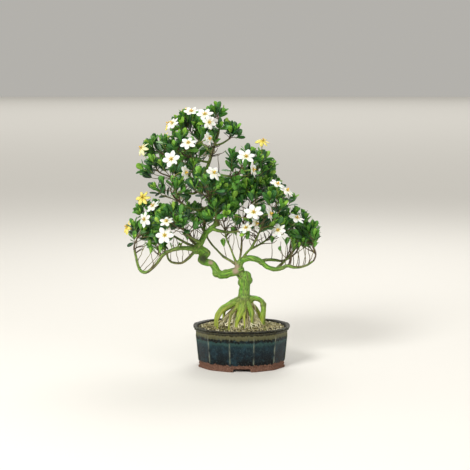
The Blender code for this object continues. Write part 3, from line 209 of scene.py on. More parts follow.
# %% Branches
BRANCHES = {
    "trunk": [(243.5, 311, 2, 4.6), (243.8, 304, 1, 6.2), (244, 298, 0, 6.4), (244.2, 292, 0, 5.6),
        (244.8, 286, 0, 5.2), (245.2, 281, 0, 5.6), (245.7, 276.5, -1, 5.5), (246, 273, -1, 4.2)],
    "neck": [(244.5, 280, 0, 4.4), (241.5, 275.5, 0, 4.4), (238.8, 271, 0, 4.2), (238, 267, 0, 3.6),
        (239, 263.5, -1, 3.4), (241, 261, -2, 3.2)],
    "left_limb": [(239.5, 270.5, -1, 4.3), (235, 271.2, -3, 4.2), (228, 272.8, -6, 4.1),
        (221, 274.2, -8, 4.1), (216.8, 271.2, -8, 4.0), (214.6, 266.5, -7, 3.7), (211.5, 262.8, -6, 3.3),
        (206.5, 261.8, -8, 3.6), (202.4, 259.6, -9, 4.3), (202.4, 256.6, -6, 4.2),
        (204.6, 254.4, -3, 4.0), (206.2, 252.4, -2, 3.8), (203.8, 250, -3, 3.6), (200, 248.6, -3, 3.5),
        (195.5, 249.8, -3, 3.6)],
    "leader": [(196.5, 249.5, -3, 3.6), (199.5, 244, -2, 3.3), (202.8, 238.3, 0, 2.9),
        (206, 232.8, 2, 2.8), (211, 228.2, 3, 2.6), (215.5, 223, 4, 2.4), (217.4, 215, 4, 2.3),
        (216.2, 206, 3, 2.4), (211.5, 197, 2, 2.3), (206.3, 189, 2, 2.1), (204, 180, 3, 2.0),
        (206, 170.5, 3, 1.8), (209.5, 161, 2, 1.6), (212, 152, 1, 1.4), (215, 143, 0, 1.2),
        (218.5, 133, 0, 1.0), (219.5, 125, 0, 0.8)],
    "left_arm": [(196, 249.8, -3, 2.8), (189.5, 248, -8, 2.3), (181.5, 247.6, -12, 2.0),
        (174, 249, -14, 1.9), (167.5, 251.3, -16, 1.8), (162.5, 255, -18, 1.6), (158, 261.5, -20, 1.5),
        (152.5, 267.5, -22, 1.5), (146.5, 271.7, -22, 1.6), (141.5, 271, -20, 1.6),
        (138.3, 265.5, -18, 1.4), (136.3, 257.5, -16, 1.3), (134.4, 249.5, -14, 1.1)],
    "under_loop": [(195, 250.5, -3, 1.9), (188, 258, 6, 1.4), (182, 262.3, 10, 1.3),
        (176.5, 262.6, 14, 1.2), (170.5, 261, 18, 1.1), (167.5, 256, 22, 1.0), (167.5, 249, 26, 0.9)],
    "high_left": [(205.5, 185.5, 1, 1.5), (199, 190, -6, 1.4), (192.5, 193.2, -12, 1.3),
        (187, 190.5, -16, 1.2), (181, 184.5, -18, 1.1), (173.5, 178.5, -20, 1.0)],
    "mid_left": [(214.5, 203, 3, 1.6), (206, 207, -10, 1.4), (197, 209.5, -22, 1.2), (188, 207, -32, 1.1),
        (180, 201.5, -38, 1.0)],
    "low_left": [(198.2, 246, -2, 1.8), (190.5, 238.5, 8, 1.5), (183.5, 228, 14, 1.3),
        (177.5, 217.5, 18, 1.2), (169.5, 211.5, 18, 1.1), (161, 211, 14, 1.0)],
    "right_limb": [(239, 263.5, -1, 3.3), (241.5, 260.3, -2, 3.2), (245.5, 258.2, -4, 3.2),
        (250.5, 257.6, -6, 3.1), (256, 258.6, -8, 3.0), (261.3, 261.2, -10, 2.7), (265, 265, -12, 2.3),
        (270.2, 267.8, -14, 2.2), (276.5, 268.8, -15, 2.1), (282.5, 267.4, -15, 2.0),
        (287.5, 265.2, -14, 1.8), (293.5, 266.8, -13, 1.5), (300, 266.6, -12, 1.3),
        (307, 264.6, -10, 1.1), (313, 260.5, -8, 1.0)],
    "right_fork": [(260.5, 260.8, -9, 2.0), (267.5, 259.2, 2, 1.7), (275, 259.6, 14, 1.5),
        (282, 260.4, 26, 1.3), (288.5, 258, 36, 1.1)],
    "fan_back_left": [(237.5, 265, 2, 1.6), (230.5, 260.3, 8, 1.3), (223.5, 256, 14, 1.2),
        (217.5, 250, 20, 1.1), (211.5, 243.5, 26, 1.0), (206.5, 236, 32, 0.9)],
    "fan_left": [(236.5, 263, 2, 1.3), (233, 254, -4, 1.0), (230, 246, -8, 0.9), (226.5, 238.5, -12, 0.9),
        (225, 228.5, -14, 0.8)],
    "fan_middle": [(239, 262, 0, 1.4), (240.6, 254.5, 6, 1.2), (241.6, 245, 12, 1.1), (242, 234, 18, 1.0),
        (243.5, 222, 24, 1.0), (247, 210.5, 28, 0.9)],
    "fan_right": [(242, 259, -3, 1.6), (246.5, 252.5, -12, 1.3), (251.5, 247, -18, 1.2),
        (256, 239, -22, 1.1), (260, 230, -24, 1.0), (265, 220, -24, 0.9)],
    "fan_far_right": [(250.5, 248.6, -17, 1.2), (257.5, 245.2, -8, 1.1), (265, 240.5, 4, 1.0),
        (272, 234, 14, 0.9)],
    "cross_branch": [(211.5, 228, 3, 1.8), (219.5, 230.4, -8, 1.6), (229, 231.6, -22, 1.3),
        (239, 230.6, -34, 1.1), (248, 228.4, -42, 1.0)],
    "mid_right": [(206.5, 189.5, 2, 1.6), (214, 188.5, 12, 1.4), (223, 190, 22, 1.2), (232, 188, 30, 1.1),
        (240, 182, 36, 0.9)],
    "front_right": [(205.5, 172.5, 3, 1.4), (213, 172, -10, 1.2), (222, 174.5, -20, 1.1),
        (231, 176, -28, 1.0)],
    "top_front_left": [(209, 162, 2, 1.3), (200, 160, -8, 1.1), (190, 157, -14, 1.0)],
    "top_back_left": [(206.5, 169, 3, 1.3), (197, 168, 16, 1.1), (186, 164, 26, 1.0),
        (175, 158, 32, 0.9)],
    "top_left": [(212, 152.5, 1, 1.1), (205, 146, 8, 1.0), (198, 139, 14, 0.9)],
    "top_right": [(214.5, 145, 0, 1.1), (222, 143, 4, 1.0), (229, 138.5, 6, 0.9)],
    "front_middle": [(217, 211, 4, 1.7), (213, 208, -16, 1.4), (210, 203, -36, 1.2),
        (209, 196, -54, 1.0)],
    "front_low_left": [(200.5, 242, -2, 1.8), (196, 240, -20, 1.5), (190, 236, -38, 1.2),
        (184, 230, -52, 1.0)],
    "back_middle": [(206.5, 232.5, 2, 2.0), (204, 228, 18, 1.7), (205, 222, 38, 1.4), (210, 215, 58, 1.1),
        (217, 207, 72, 0.9)],
    "back_right": [(216.8, 212, 4, 1.7), (224, 208, 22, 1.4), (233, 203, 42, 1.2), (243, 197, 60, 1.0)],
    "back_high": [(205, 184, 2, 1.4), (198, 181, 22, 1.2), (189, 176, 40, 1.0)],
    "back_low_left": [(197.5, 247.5, -2, 1.8), (187, 243, 22, 1.4), (178, 238, 42, 1.2),
        (167, 232, 58, 1.0)],
    "back_low_right": [(276.5, 268.2, -14, 1.6), (283, 262, 8, 1.3), (290, 254, 30, 1.2),
        (297, 246, 50, 1.0)],
}

# %% Roots
ROOTS = {
    "root_left": [(241, 299, -2, 4.2), (234, 301.5, -6, 3.2), (226.5, 305, -10, 2.8),
        (220.5, 309.5, -14, 2.4), (217, 315, -18, 2.0), (216, 320, -19, 1.7)],
    "root_left_front": [(238, 300, -4, 3.0), (230, 305, -16, 2.2), (223, 310, -28, 1.8),
        (219, 316, -36, 1.5), (217.5, 321, -38, 1.2)],
    "root_front": [(243, 300, -6, 4.2), (242.5, 306, -16, 4.4), (240.5, 312, -26, 3.8),
        (238, 318, -33, 2.6), (237, 322, -34, 2.0)],
    "root_front_thin": [(240, 302, -8, 2.0), (235.5, 308, -20, 1.5), (231, 314, -34, 1.3),
        (229.5, 320, -44, 1.1), (229, 324, -46, 1.0)],
    "root_front_right": [(247, 301, -5, 3.0), (250, 307, -16, 2.8), (251.5, 313, -22, 2.4),
        (252, 318, -26, 1.8), (252.3, 322, -27, 1.4)],
    "root_right_loop": [(247, 297.5, 1, 3.2), (254, 297.8, 2, 2.6), (260, 299.6, 0, 2.5),
        (263.3, 303.5, -2, 2.5), (263.6, 309, -4, 2.6), (262.8, 315, -5, 2.7), (262.8, 320, -5, 2.5)],
    "root_back_left": [(241, 300, 6, 3.4), (234, 304, 20, 2.6), (227, 308, 30, 2.0), (224, 312, 36, 1.6)],
    "root_back": [(245, 300, 7, 3.4), (246, 303, 22, 2.6), (248, 307, 34, 2.0), (249, 311, 40, 1.6)],
    "root_back_right": [(248, 301, 5, 2.8), (254, 306, 18, 2.2), (258, 311, 26, 1.8),
        (259.5, 315, 30, 1.5)],
    "root_middle_thin": [(244, 303, -8, 2.0), (245.5, 310, -22, 1.3), (244, 317, -36, 1.2),
        (244.5, 322, -42, 1.0)],
}

# %% [markdown]
# ## Sprays and flowers
# Each branch ends in a spray: a stem with leafy shoots inside an egg-shaped pad. A spray is
# given by its branch, the middle of the pad, its half sizes in millimetres and how many main
# shoots it has. Each flower is given by its place, the way it looks (turn to the viewer's right,
# then lift, in degrees) and its width in millimetres.

# %% Sprays
SPRAYS = [
    ("leader", (217.5, 114.5, 0), (15, 17, 24), 4),
    ("top_left", (187, 124, 18), (34, 32, 26), 4),
    ("top_right", (231.5, 133, 8), (22, 28, 27), 3),
    ("top_front_left", (177, 145, -38), (38, 30, 30), 3),
    ("top_back_left", (156, 149, 32), (28, 34, 32), 3),
    ("high_left", (156, 169, -26), (34, 34, 28), 3),
    ("front_right", (243, 164, -46), (38, 30, 34), 3),
    ("mid_right", (263, 170, 24), (30, 36, 44), 4),
    ("mid_left", (170, 188, -66), (40, 30, 26), 3),
    ("back_high", (182, 156, 78), (50, 34, 42), 4),
    ("fan_left", (222, 214, -58), (38, 32, 32), 3),
    ("fan_middle", (262, 190, 20), (40, 34, 28), 4),
    ("fan_right", (279, 200, -42), (34, 34, 28), 3),
    ("fan_far_right", (288, 220, 10), (34, 34, 28), 3),
    ("right_limb", (311, 236, -4), (10, 36, 34), 4),
    ("right_fork", (302, 238, 40), (24, 32, 32), 3),
    ("low_left", (149, 213, 6), (28, 34, 24), 3),
    ("left_arm", (138, 234, -14), (17, 34, 26), 3),
    ("under_loop", (160, 242, 32), (28, 32, 26), 3),
    ("fan_back_left", (198, 216, 44), (40, 34, 28), 3),
    ("cross_branch", (262, 222, -76), (40, 30, 28), 3),
    ("front_middle", (205, 184, -92), (40, 28, 34), 3),
    ("front_low_left", (172, 222, -76), (40, 30, 30), 3),
    ("back_middle", (226, 194, 94), (48, 28, 40), 4),
    ("back_right", (262, 186, 84), (44, 30, 40), 4),
    ("back_low_left", (162, 222, 90), (40, 32, 38), 4),
    ("back_low_right", (298, 226, 82), (32, 32, 34), 4),
]

# %% Flowers
BLOOMS = {
    "bloom_white_01": [(171.2, 158.5, -82, -12, 22, 37)],
    "bloom_white_02": [(253.7, 211.5, -112, 2, 42, 40)],
    "bloom_white_03": [(246.2, 155.8, -78, 5, 42, 38)],
    "bloom_white_04": [(188.3, 142, -70, -10, 50, 37)],
    "bloom_white_05": [(191.4, 110.5, -8, -15, 62, 34)],
    "bloom_white_06": [(172.2, 122.5, -20, -50, 40, 34)],
    "bloom_white_07": [(209.5, 138, -52, 60, 20, 32)],
    "bloom_white_08": [(186, 172, -104, 60, 5, 32)],
    "bloom_white_09": [(214.2, 172, -112, 40, 38, 36)],
    "bloom_white_10": [(253.4, 168.8, -92, 70, 8, 34)],
    "bloom_white_11": [(270.8, 213, -88, 72, 15, 34)],
    "bloom_white_12": [(297, 217, -40, 42, 60, 38)],
    "bloom_white_13": [(278, 229.5, -72, -32, 40, 36)],
    "bloom_pair_01": [(205, 113.3, -36, -3, 50, 38), (209.5, 121.5, -48, 25, 5, 32)],
    "bloom_pair_02": [(164.6, 234.6, -92, -5, 22, 39), (166.5, 220.5, -96, -20, 55, 32)],
    "bloom_pair_03": [(144, 218.8, -34, -45, 10, 36), (152.5, 205, -32, -50, 45, 34)],
    "bloom_pair_04": [(277.8, 183.2, -62, 45, 60, 34), (287.5, 189.5, -60, 52, 52, 36)],
    "bloom_pair_05": [(256.5, 223, -84, 62, 15, 32), (246, 227, -80, -32, 48, 34)],
    "bloom_cream_01": [(183.6, 110.5, 26, -45, 50, 32)],
    "bloom_cream_02": [(168, 123, 20, -70, 35, 32), (163.5, 137.7, 8, -70, 5, 34)],
    "bloom_cream_03": [(141, 147, 14, -60, 30, 36)],
    "bloom_cream_04": [(142.4, 196.5, -14, -22, 30, 36)],
    "bloom_cream_05": [(126.6, 226, 0, -62, 22, 36)],
    "bloom_cream_06": [(263, 139.8, 10, 15, 62, 34)],
    "bloom_back_01": [(208, 150, 94, 175, 20, 36)],
    "bloom_back_02": [(176, 196, 110, 190, 10, 38)],
    "bloom_back_03": [(258, 205, 112, 170, 5, 38)],
}

# %% [markdown]
# ## From the picture to the world
# A pixel and a depth name one point in space, because the camera is known. The rest of this
# cell is small geometry: a point part of the way along a path, a smooth curve between two points
# that leaves and arrives in given directions, and a small random shift.

# %% Places and curves
def spot(across, down, depth):
    """Turns a place read from the picture, at a depth in millimetres, into metres."""
    side = (across - VIEW_MIDDLE[0]) / VIEW_FOCAL
    drop = (down - VIEW_MIDDLE[1]) / VIEW_FOCAL
    ahead = math.cos(VIEW_PITCH) - drop * math.sin(VIEW_PITCH)
    rise = -math.sin(VIEW_PITCH) - drop * math.cos(VIEW_PITCH)
    reach = (depth - VIEW_EYE[1]) / ahead
    x = VIEW_EYE[0] + side * reach
    z = VIEW_EYE[2] + rise * reach
    return Vector((x * MM + POT_X, depth * MM + POT_Y, z * MM))


def curve_points(start, leave, end, arrive, count):
    """Points on a smooth curve that leaves and arrives along given directions."""
    shares = [index / count for index in range(count + 1)]
    return [(2 * t ** 3 - 3 * t ** 2 + 1) * start + (t ** 3 - 2 * t ** 2 + t) * leave
            + (3 * t ** 2 - 2 * t ** 3) * end + (t ** 3 - t ** 2) * arrive for t in shares]


def on_path(path, t):
    """The point and the way along at a share of a path."""
    place = t * (len(path) - 1)
    index = min(int(place), len(path) - 2)
    here = path[index]
    there = path[index + 1]
    return here.lerp(there, place - index), (there - here).normalized()


def straightness(path):
    """The sharpest bend of a path: 1 is straight, 0 a right angle."""
    ways = [(there - here).normalized() for here, there in zip(path, path[1:])]
    return min([1.0] + [way.dot(next_way) for way, next_way in zip(ways, ways[1:])])


def facing_of(turn, lift):
    """The way a flower looks: 0 is towards the viewer, plus is to the viewer's right."""
    turn = math.radians(turn)
    lift = math.radians(lift)
    return Vector((math.sin(turn) * math.cos(lift), -math.cos(turn) * math.cos(lift), math.sin(lift)))


def read_wood(table):
    """Paths and radii of a table of branches, in metres."""
    return {name: ([spot(*row[:3]) for row in rows], [row[3] * PIXEL * MM for row in rows])
            for name, rows in table.items()}


def rising_curve(start, way, end, lift, count):
    """A shoot's path: it leaves a rod at a slant and ends turned upwards."""
    away = end - start
    leave = (away.normalized() + way * 0.5) * away.length * 0.8
    arrive = (away.normalized() + Vector((0, 0, lift))) * away.length * 0.6
    return curve_points(start, leave, end, arrive, count)


def pad_reach(half, angle, rise):
    """From a pad's middle to its surface; rise is -1 at its foot and 1 at its top."""
    flat = math.sqrt(max(0.0, 1 - rise * rise))
    return Vector((half[0] * math.cos(angle) * flat, half[1] * math.sin(angle) * flat, half[2] * rise))


def shake(draws, *sizes):
    """A random vector, each part of which lies between minus and plus its size."""
    return Vector([draws.uniform(-size, size) for size in sizes])


print("branches", len(BRANCHES), "roots", len(ROOTS))

# %% [markdown]
# ## Room to grow
# Real twigs push each other aside. Here every new stem is tested against the flowers and rods
# that are there already, and is drawn again until it is clear of them. One seed fixes all the
# random draws, so the tree grows the same way each time, and the same way as its solids.

# %% A list of what is taken
SEED = 4127
# sizes in millimetres
CLEAR = 0.5
STRAIGHT = 1.6
SHOOT_RADIUS = 0.95
STEM_TIP_RADIUS = 1.3
TUBE_LONG = 15.0
PAIR_LONG = 26.0
TUBE_RADIUS = 1.7
THROAT_DEEP = 3.2
FLOWER_STEP = 5.0
JOINT = 0.3
STRAY = 0.8
RIM_FREE = 2.0
MOUND_HIGH = 11.0
MOUND_X = -4.0
MOUND_WIDE = 62.0
MOUND_DEEP = 44.0
SOIL_EDGE = 80.2
SOIL_ROUGH = 1.1
ROOT_DEEP = 8.5
# sizes in metres: how far a flower reaches behind and in front of its middle, from which depth
# on it belongs to the back, and how far a root's end drops and stays above the soil
FLOWER_BACK = 0.008
FLOWER_FRONT = 0.006
BACK_FROM = 0.09
ROOT_DROP = 0.002
ROOT_ABOVE = 0.003
# more sizes in metres: how strongly a forked tube is bent at its foot and at its head, how short
# a stalk or shoot may be, below which length it is drawn with fewer points, and how much of its
# start may touch its own stem
FOOT_BEND = 0.016
HEAD_BEND = 0.022
LEAST_STALK = 0.014
SHORT_STALK = 0.022
LEAST_SHOOT = 0.012
SHORT_SHOOT = 0.028
STALK_FREE = 0.007
SHOOT_FREE = 0.006
# shares of a stem where a stalk may leave it, and the sharpest bend, where 1 is straight
STALK_PLACES = (0.3, 0.45, 0.6, 0.75, 0.9)
SHARPEST = 0.45
# shares of a stem between which a shoot leaves it, and of the pad that it reaches
SHOOT_PLACES = (0.45, 0.95)
SHOOT_REACH = (0.66, 0.86)
# feet that are tried for a stalk before it is bent more
STALK_FEET = 30
RIM_RAYS = 12
# how often each kind is drawn again before it is given up
FLOWER_TRIES = 9
STEM_TRIES = 24
STALK_TRIES = 80
SHOOT_TRIES = 40
GOLDEN_ANGLE = 2.39996


class Room:
    """Keeps the rods and flowers placed so far, to ask whether a new path is clear of them."""

    def __init__(self):
        self.rods = []
        self.discs = []

    def add_path(self, path, radii, tag):
        """Takes up each straight piece of a path."""
        for here, there, first, last in zip(path, path[1:], radii, radii[1:]):
            self.rods.append((tuple(here), tuple(there), max(first, last), tag))

    def clear(self, path, radius, skip=(), own="", own_free=0):
        """True if the path keeps CLEAR from every flower and every rod but the skipped tags.

        Rods tagged own are only tested beyond own_free metres from the path's start."""
        points = [here.lerp(there, step / 4) for here, there in zip(path, path[1:])
                  for step in range(4)] + [path[-1]]
        for middle, facing, wide in self.discs:
            for point in points:
                away = point - middle
                high = away.dot(facing)
                flat = (away - facing * high).length
                level = -FLOWER_BACK - radius < high < FLOWER_FRONT + radius
                if level and flat < wide + radius + CLEAR * MM:
                    return False
        starts, ends, widths, tags = zip(*self.rods)
        starts = np.array(starts)
        lines = np.array(ends) - starts
        sizes = (lines * lines).sum(axis=1)
        free = np.array([tag in skip for tag in tags])
        mine = np.array([tag == own for tag in tags])
        for point in points:
            here = np.array(point)
            shares = np.clip(((here - starts) * lines).sum(axis=1) / sizes, 0, 1)
            away = np.linalg.norm(starts + lines * shares[:, None] - here, axis=1)
            gap = away - np.array(widths) - radius - CLEAR * MM
            test = ~free
            if (point - path[0]).length < own_free:
                test = test & ~mine
            if (gap[test] < 0).any():
                return False
        return True


def soil_height(x, y):
    """Height of the soil in metres at a place measured in metres from the pot's middle."""
    across = (x / MM - MOUND_X) / MOUND_WIDE
    deep = (y / MM) / MOUND_DEEP
    mound = MOUND_HIGH * math.exp(-(across * across + deep * deep))
    rough = SOIL_ROUGH * noise.noise(Vector((x * 62.0, y * 62.0, 3.7)))
    return (SOIL_EDGE + mound + rough) * MM


def finish_roots(roots):
    """Turns each root's end straight down into the soil."""
    for path, radii in roots.values():
        last = path[-1]
        top = soil_height(last.x - POT_X, last.y - POT_Y)
        low = max(min(last.z, path[-2].z - ROOT_DROP), top + ROOT_ABOVE)
        path[-1] = Vector((last.x, last.y, low))
        path.append(Vector((last.x, last.y, top - ROOT_DEEP * MM)))
        radii.append(radii[-1])


print("room ready")

# %% Grow the stems, stalks and main shoots
def plan_blooms(room, rng):
    """Places the flowers and their tubes, each with the foot where a shoot must meet it.

    A head is a flower's middle, the way it looks, its width, its cup and its turn."""
    plans = {}
    for name, entries in BLOOMS.items():
        heads = [[spot(*entry[:3]), facing_of(*entry[3:5]), entry[5] * MM,
                  rng.uniform(-2.5, 2.0) * MM, rng.uniform(0, 1.0)] for entry in entries]
        step = -FLOWER_STEP * MM if heads[0][0].y < BACK_FROM else FLOWER_STEP * MM
        for attempt in range(FLOWER_TRIES):
            together = sum((head[1] for head in heads), Vector()).normalized()
            middle = sum((head[0] for head in heads), Vector()) / len(heads)
            depth = TUBE_LONG * MM if len(heads) == 1 else PAIR_LONG * MM
            foot = middle - together * depth
            tubes = []
            for head in heads:
                end = head[0] - head[1] * THROAT_DEEP * MM
                bent = curve_points(foot + together * STRAIGHT * MM, together * FOOT_BEND, end,
                                    head[1] * HEAD_BEND, 2)
                tubes.append([foot, end] if len(heads) == 1 else [foot] + bent)
            good = all(room.clear(tube, TUBE_RADIUS * MM) for tube in tubes)
            for middle, facing, wide, cup, lean in heads:
                side = facing.orthogonal().normalized()
                for ray in range(RIM_RAYS):
                    spin = Matrix.Rotation(ray * 2 * math.pi / RIM_RAYS, 3, facing)
                    line = [middle - facing * 0.002, middle + spin @ side * (wide / 2)]
                    good = good and room.clear(line, RIM_FREE * MM)
            if good:
                break
            for head in heads:
                head[0].y += step
        else:
            print("no clear place for", name)
        plans[name] = {"heads": heads, "tubes": tubes, "foot": foot, "way": together}
        for head in heads:
            room.discs.append((head[0], head[1], head[2] / 2))
        for tube in tubes:
            room.add_path(tube, [TUBE_RADIUS * MM] * len(tube), name)
    return plans


def plan_sprays(room, wood, blooms, rng):
    """Stems, flower stalks and leafy shoots, each bent until it is clear of the others."""
    sprays = []
    for branch, pad, half, count in SPRAYS:
        path, radii = wood[branch]
        way = (path[-1] - path[-2]).normalized()
        start = path[-1] + way * JOINT * MM
        middle = spot(*pad)
        reach = (middle - start).length
        for attempt in range(STEM_TRIES):
            loose = attempt * STRAY * MM
            end = middle + shake(rng, loose, loose, loose)
            out = (end - start).normalized()
            stem = [start] + curve_points(start + way * STRAIGHT * MM, way * reach * 0.9, end,
                                          (out + Vector((0, 0, 0.8))) * reach * 0.6, 3)
            tip = min(radii[-1], STEM_TIP_RADIUS * MM)
            widths = [radii[-1] + (tip - radii[-1]) * t / 4 for t in range(5)]
            if room.clear(stem, widths[0], (branch,)):
                break
        else:
            print("stem crosses something:", branch)
        sprays.append({"name": branch, "stem": stem, "widths": widths, "shoots": [], "stalks": [],
                       "middle": middle, "half": half, "count": count})
        room.add_path(stem, widths, "stem " + branch)
    for name, plan in blooms.items():
        grow_stalk(room, sprays, name, plan, rng)
    for spray in sprays:
        grow_shoots(room, spray, rng)
    return sprays


def grow_stalk(room, sprays, name, plan, rng):
    """A stalk from the nearest stem that can reach the foot of a flower."""
    end = plan["foot"] - plan["way"] * JOINT * MM
    order = []
    for spray in sprays:
        for t in STALK_PLACES:
            point, way = on_path(spray["stem"], t)
            away = end - point
            if away.length > LEAST_STALK:
                turn = away.normalized().dot(plan["way"])
                order.append((away.length * (1.5 - 0.5 * turn), t, spray["name"]))
    order.sort()
    by_name = {spray["name"]: spray for spray in sprays}
    for attempt in range(STALK_TRIES):
        cost, t, owner = order[attempt % STALK_FEET]
        spray = by_name[owner]
        point, way = on_path(spray["stem"], t)
        reach = (end - point).length
        leave = ((end - point).normalized() + way * 0.4) * reach * rng.uniform(0.5, 1.1)
        loose = 0.1 * (attempt // STALK_FEET) * reach
        leave += shake(rng, loose, loose, loose)
        count = 2 if reach < SHORT_STALK else 3
        path = curve_points(point, leave, end - plan["way"] * STRAIGHT * MM,
                            plan["way"] * reach * rng.uniform(0.5, 0.9), count)
        gentle = straightness(path + [end]) > SHARPEST
        if gentle and room.clear(path, SHOOT_RADIUS * MM, (name,), "stem " + owner, STALK_FREE):
            path.append(end)
            break
    else:
        print("no clear stalk for", name)
        path.append(end)
    spray["stalks"].append((path, name))
    room.add_path(path, [SHOOT_RADIUS * MM] * len(path), "stem " + owner)


def grow_shoots(room, spray, rng):
    """Leafy shoots to places spread evenly over the pad by the golden angle."""
    first = rng.uniform(0, 2 * math.pi)
    for index in range(spray["count"]):
        for attempt in range(SHOOT_TRIES):
            loose = 0.03 * attempt
            angle = first + index * GOLDEN_ANGLE + rng.uniform(-loose, loose)
            rise = 1.0 - 1.25 * (index + 0.5) / spray["count"] + rng.uniform(-loose, loose) * 0.4
            rise = max(-0.6, min(1.0, rise))
            reach = pad_reach(spray["half"], angle, rise) * rng.uniform(*SHOOT_REACH) * MM
            end = spray["middle"] + reach
            point, way = on_path(spray["stem"], rng.uniform(*SHOOT_PLACES))
            long = (end - point).length
            if long < LEAST_SHOOT:
                continue
            path = rising_curve(point, way, end, 0.9, 2 if long < SHORT_SHOOT else 3)
            if room.clear(path, SHOOT_RADIUS * MM, (), "stem " + spray["name"], SHOOT_FREE):
                spray["shoots"].append(path)
                room.add_path(path, [SHOOT_RADIUS * MM] * len(path), "stem " + spray["name"])
                break
        else:
            print("left out a shoot of", spray["name"])


rng = random.Random(SEED)
room = Room()
wood = read_wood(BRANCHES)
roots = read_wood(ROOTS)
finish_roots(roots)
for name, (path, radii) in list(wood.items()) + list(roots.items()):
    room.add_path(path, radii, name)
blooms = plan_blooms(room, rng)
sprays = plan_sprays(room, wood, blooms, rng)
print("sprays", len(sprays), "main shoots", sum(len(spray["shoots"]) for spray in sprays))

# %% [markdown]
# ## Shapes that go round
# A pot, a root and a twig are all one sheet bent round until its edges meet. A grid has its
# rows and columns ready, so the sheet starts as a grid, each row is laid on a closed ring of
# points, and the seam is merged. A ring of no width closes an end.

# %% Sheets bent round, finished pieces and copies
MERGE = 0.000001


def paint(verts, material):
    """Gives the faces round some points one of the object's materials."""
    for vert in verts:
        for face in vert.link_faces:
            face.material_index = material


def wrap(bm, rings, values=None, layer=None, material=0):
    """Bends a grid so that each row follows a closed ring of points, and merges the seam."""
    around = len(rings[0])
    rows = len(rings) - 1
    made = bmesh.ops.create_grid(bm, x_segments=around, y_segments=rows, size=1)
    paint(made["verts"], material)
    for vert in made["verts"]:
        i = round((vert.co.x + 1) / 2 * around) % around
        j = round((vert.co.y + 1) / 2 * rows)
        vert.co = rings[j][i]
        if values:
            vert[layer] = values[j][i]
    bmesh.ops.remove_doubles(bm, verts=made["verts"], dist=MERGE)


def finish_piece(name, bm, materials, nodes=()):
    """Makes an object of a bmesh, which rides on the frame and may stand for some of its nodes."""
    for face in bm.faces:
        face.smooth = True
    made = show(name, end_mesh(name, bm))
    for material in materials:
        made.data.materials.append(material)
    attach(made, "root")
    if nodes:
        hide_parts(*nodes)
    made.data.calc_loop_triangles()
    print(name, len(made.data.loop_triangles), "triangles")
    return made


def lay_copy(bm, shape, matrix):
    """Adds a moved copy of a small mesh, to a bmesh from which nothing was ever deleted."""
    start = len(bm.verts)
    bm.from_mesh(shape)
    bm.verts.ensure_lookup_table()
    bmesh.ops.transform(bm, matrix=matrix, verts=bm.verts[start:])


def set_values(made, name, values):
    """Stores one number for each vertex, for the material to read."""
    attribute = made.data.attributes.new(name, "FLOAT", "POINT")
    attribute.data.foreach_set("value", np.array(values, np.float32))


print("shape helpers ready")

# %% [markdown]
# ## The glaze
# The pot is stoneware with a thick dark glaze. Such a glaze moves while it melts: it runs down
# from the rim and leaves an olive band with a ragged lower edge, it pools dark blue and teal on
# the walls, and it draws back from ribs and edges, where the pale body shows through. The foot
# is wiped clean before firing and stays bare clay. Height drives the bands, noise frays them,
# and a value stored on the mesh says where the glaze is thin.

# %% Glazed stoneware
DRIP_WOBBLE = 0.0062
POT_HIGH = 0.086
CLAY_TOP = 0.0134


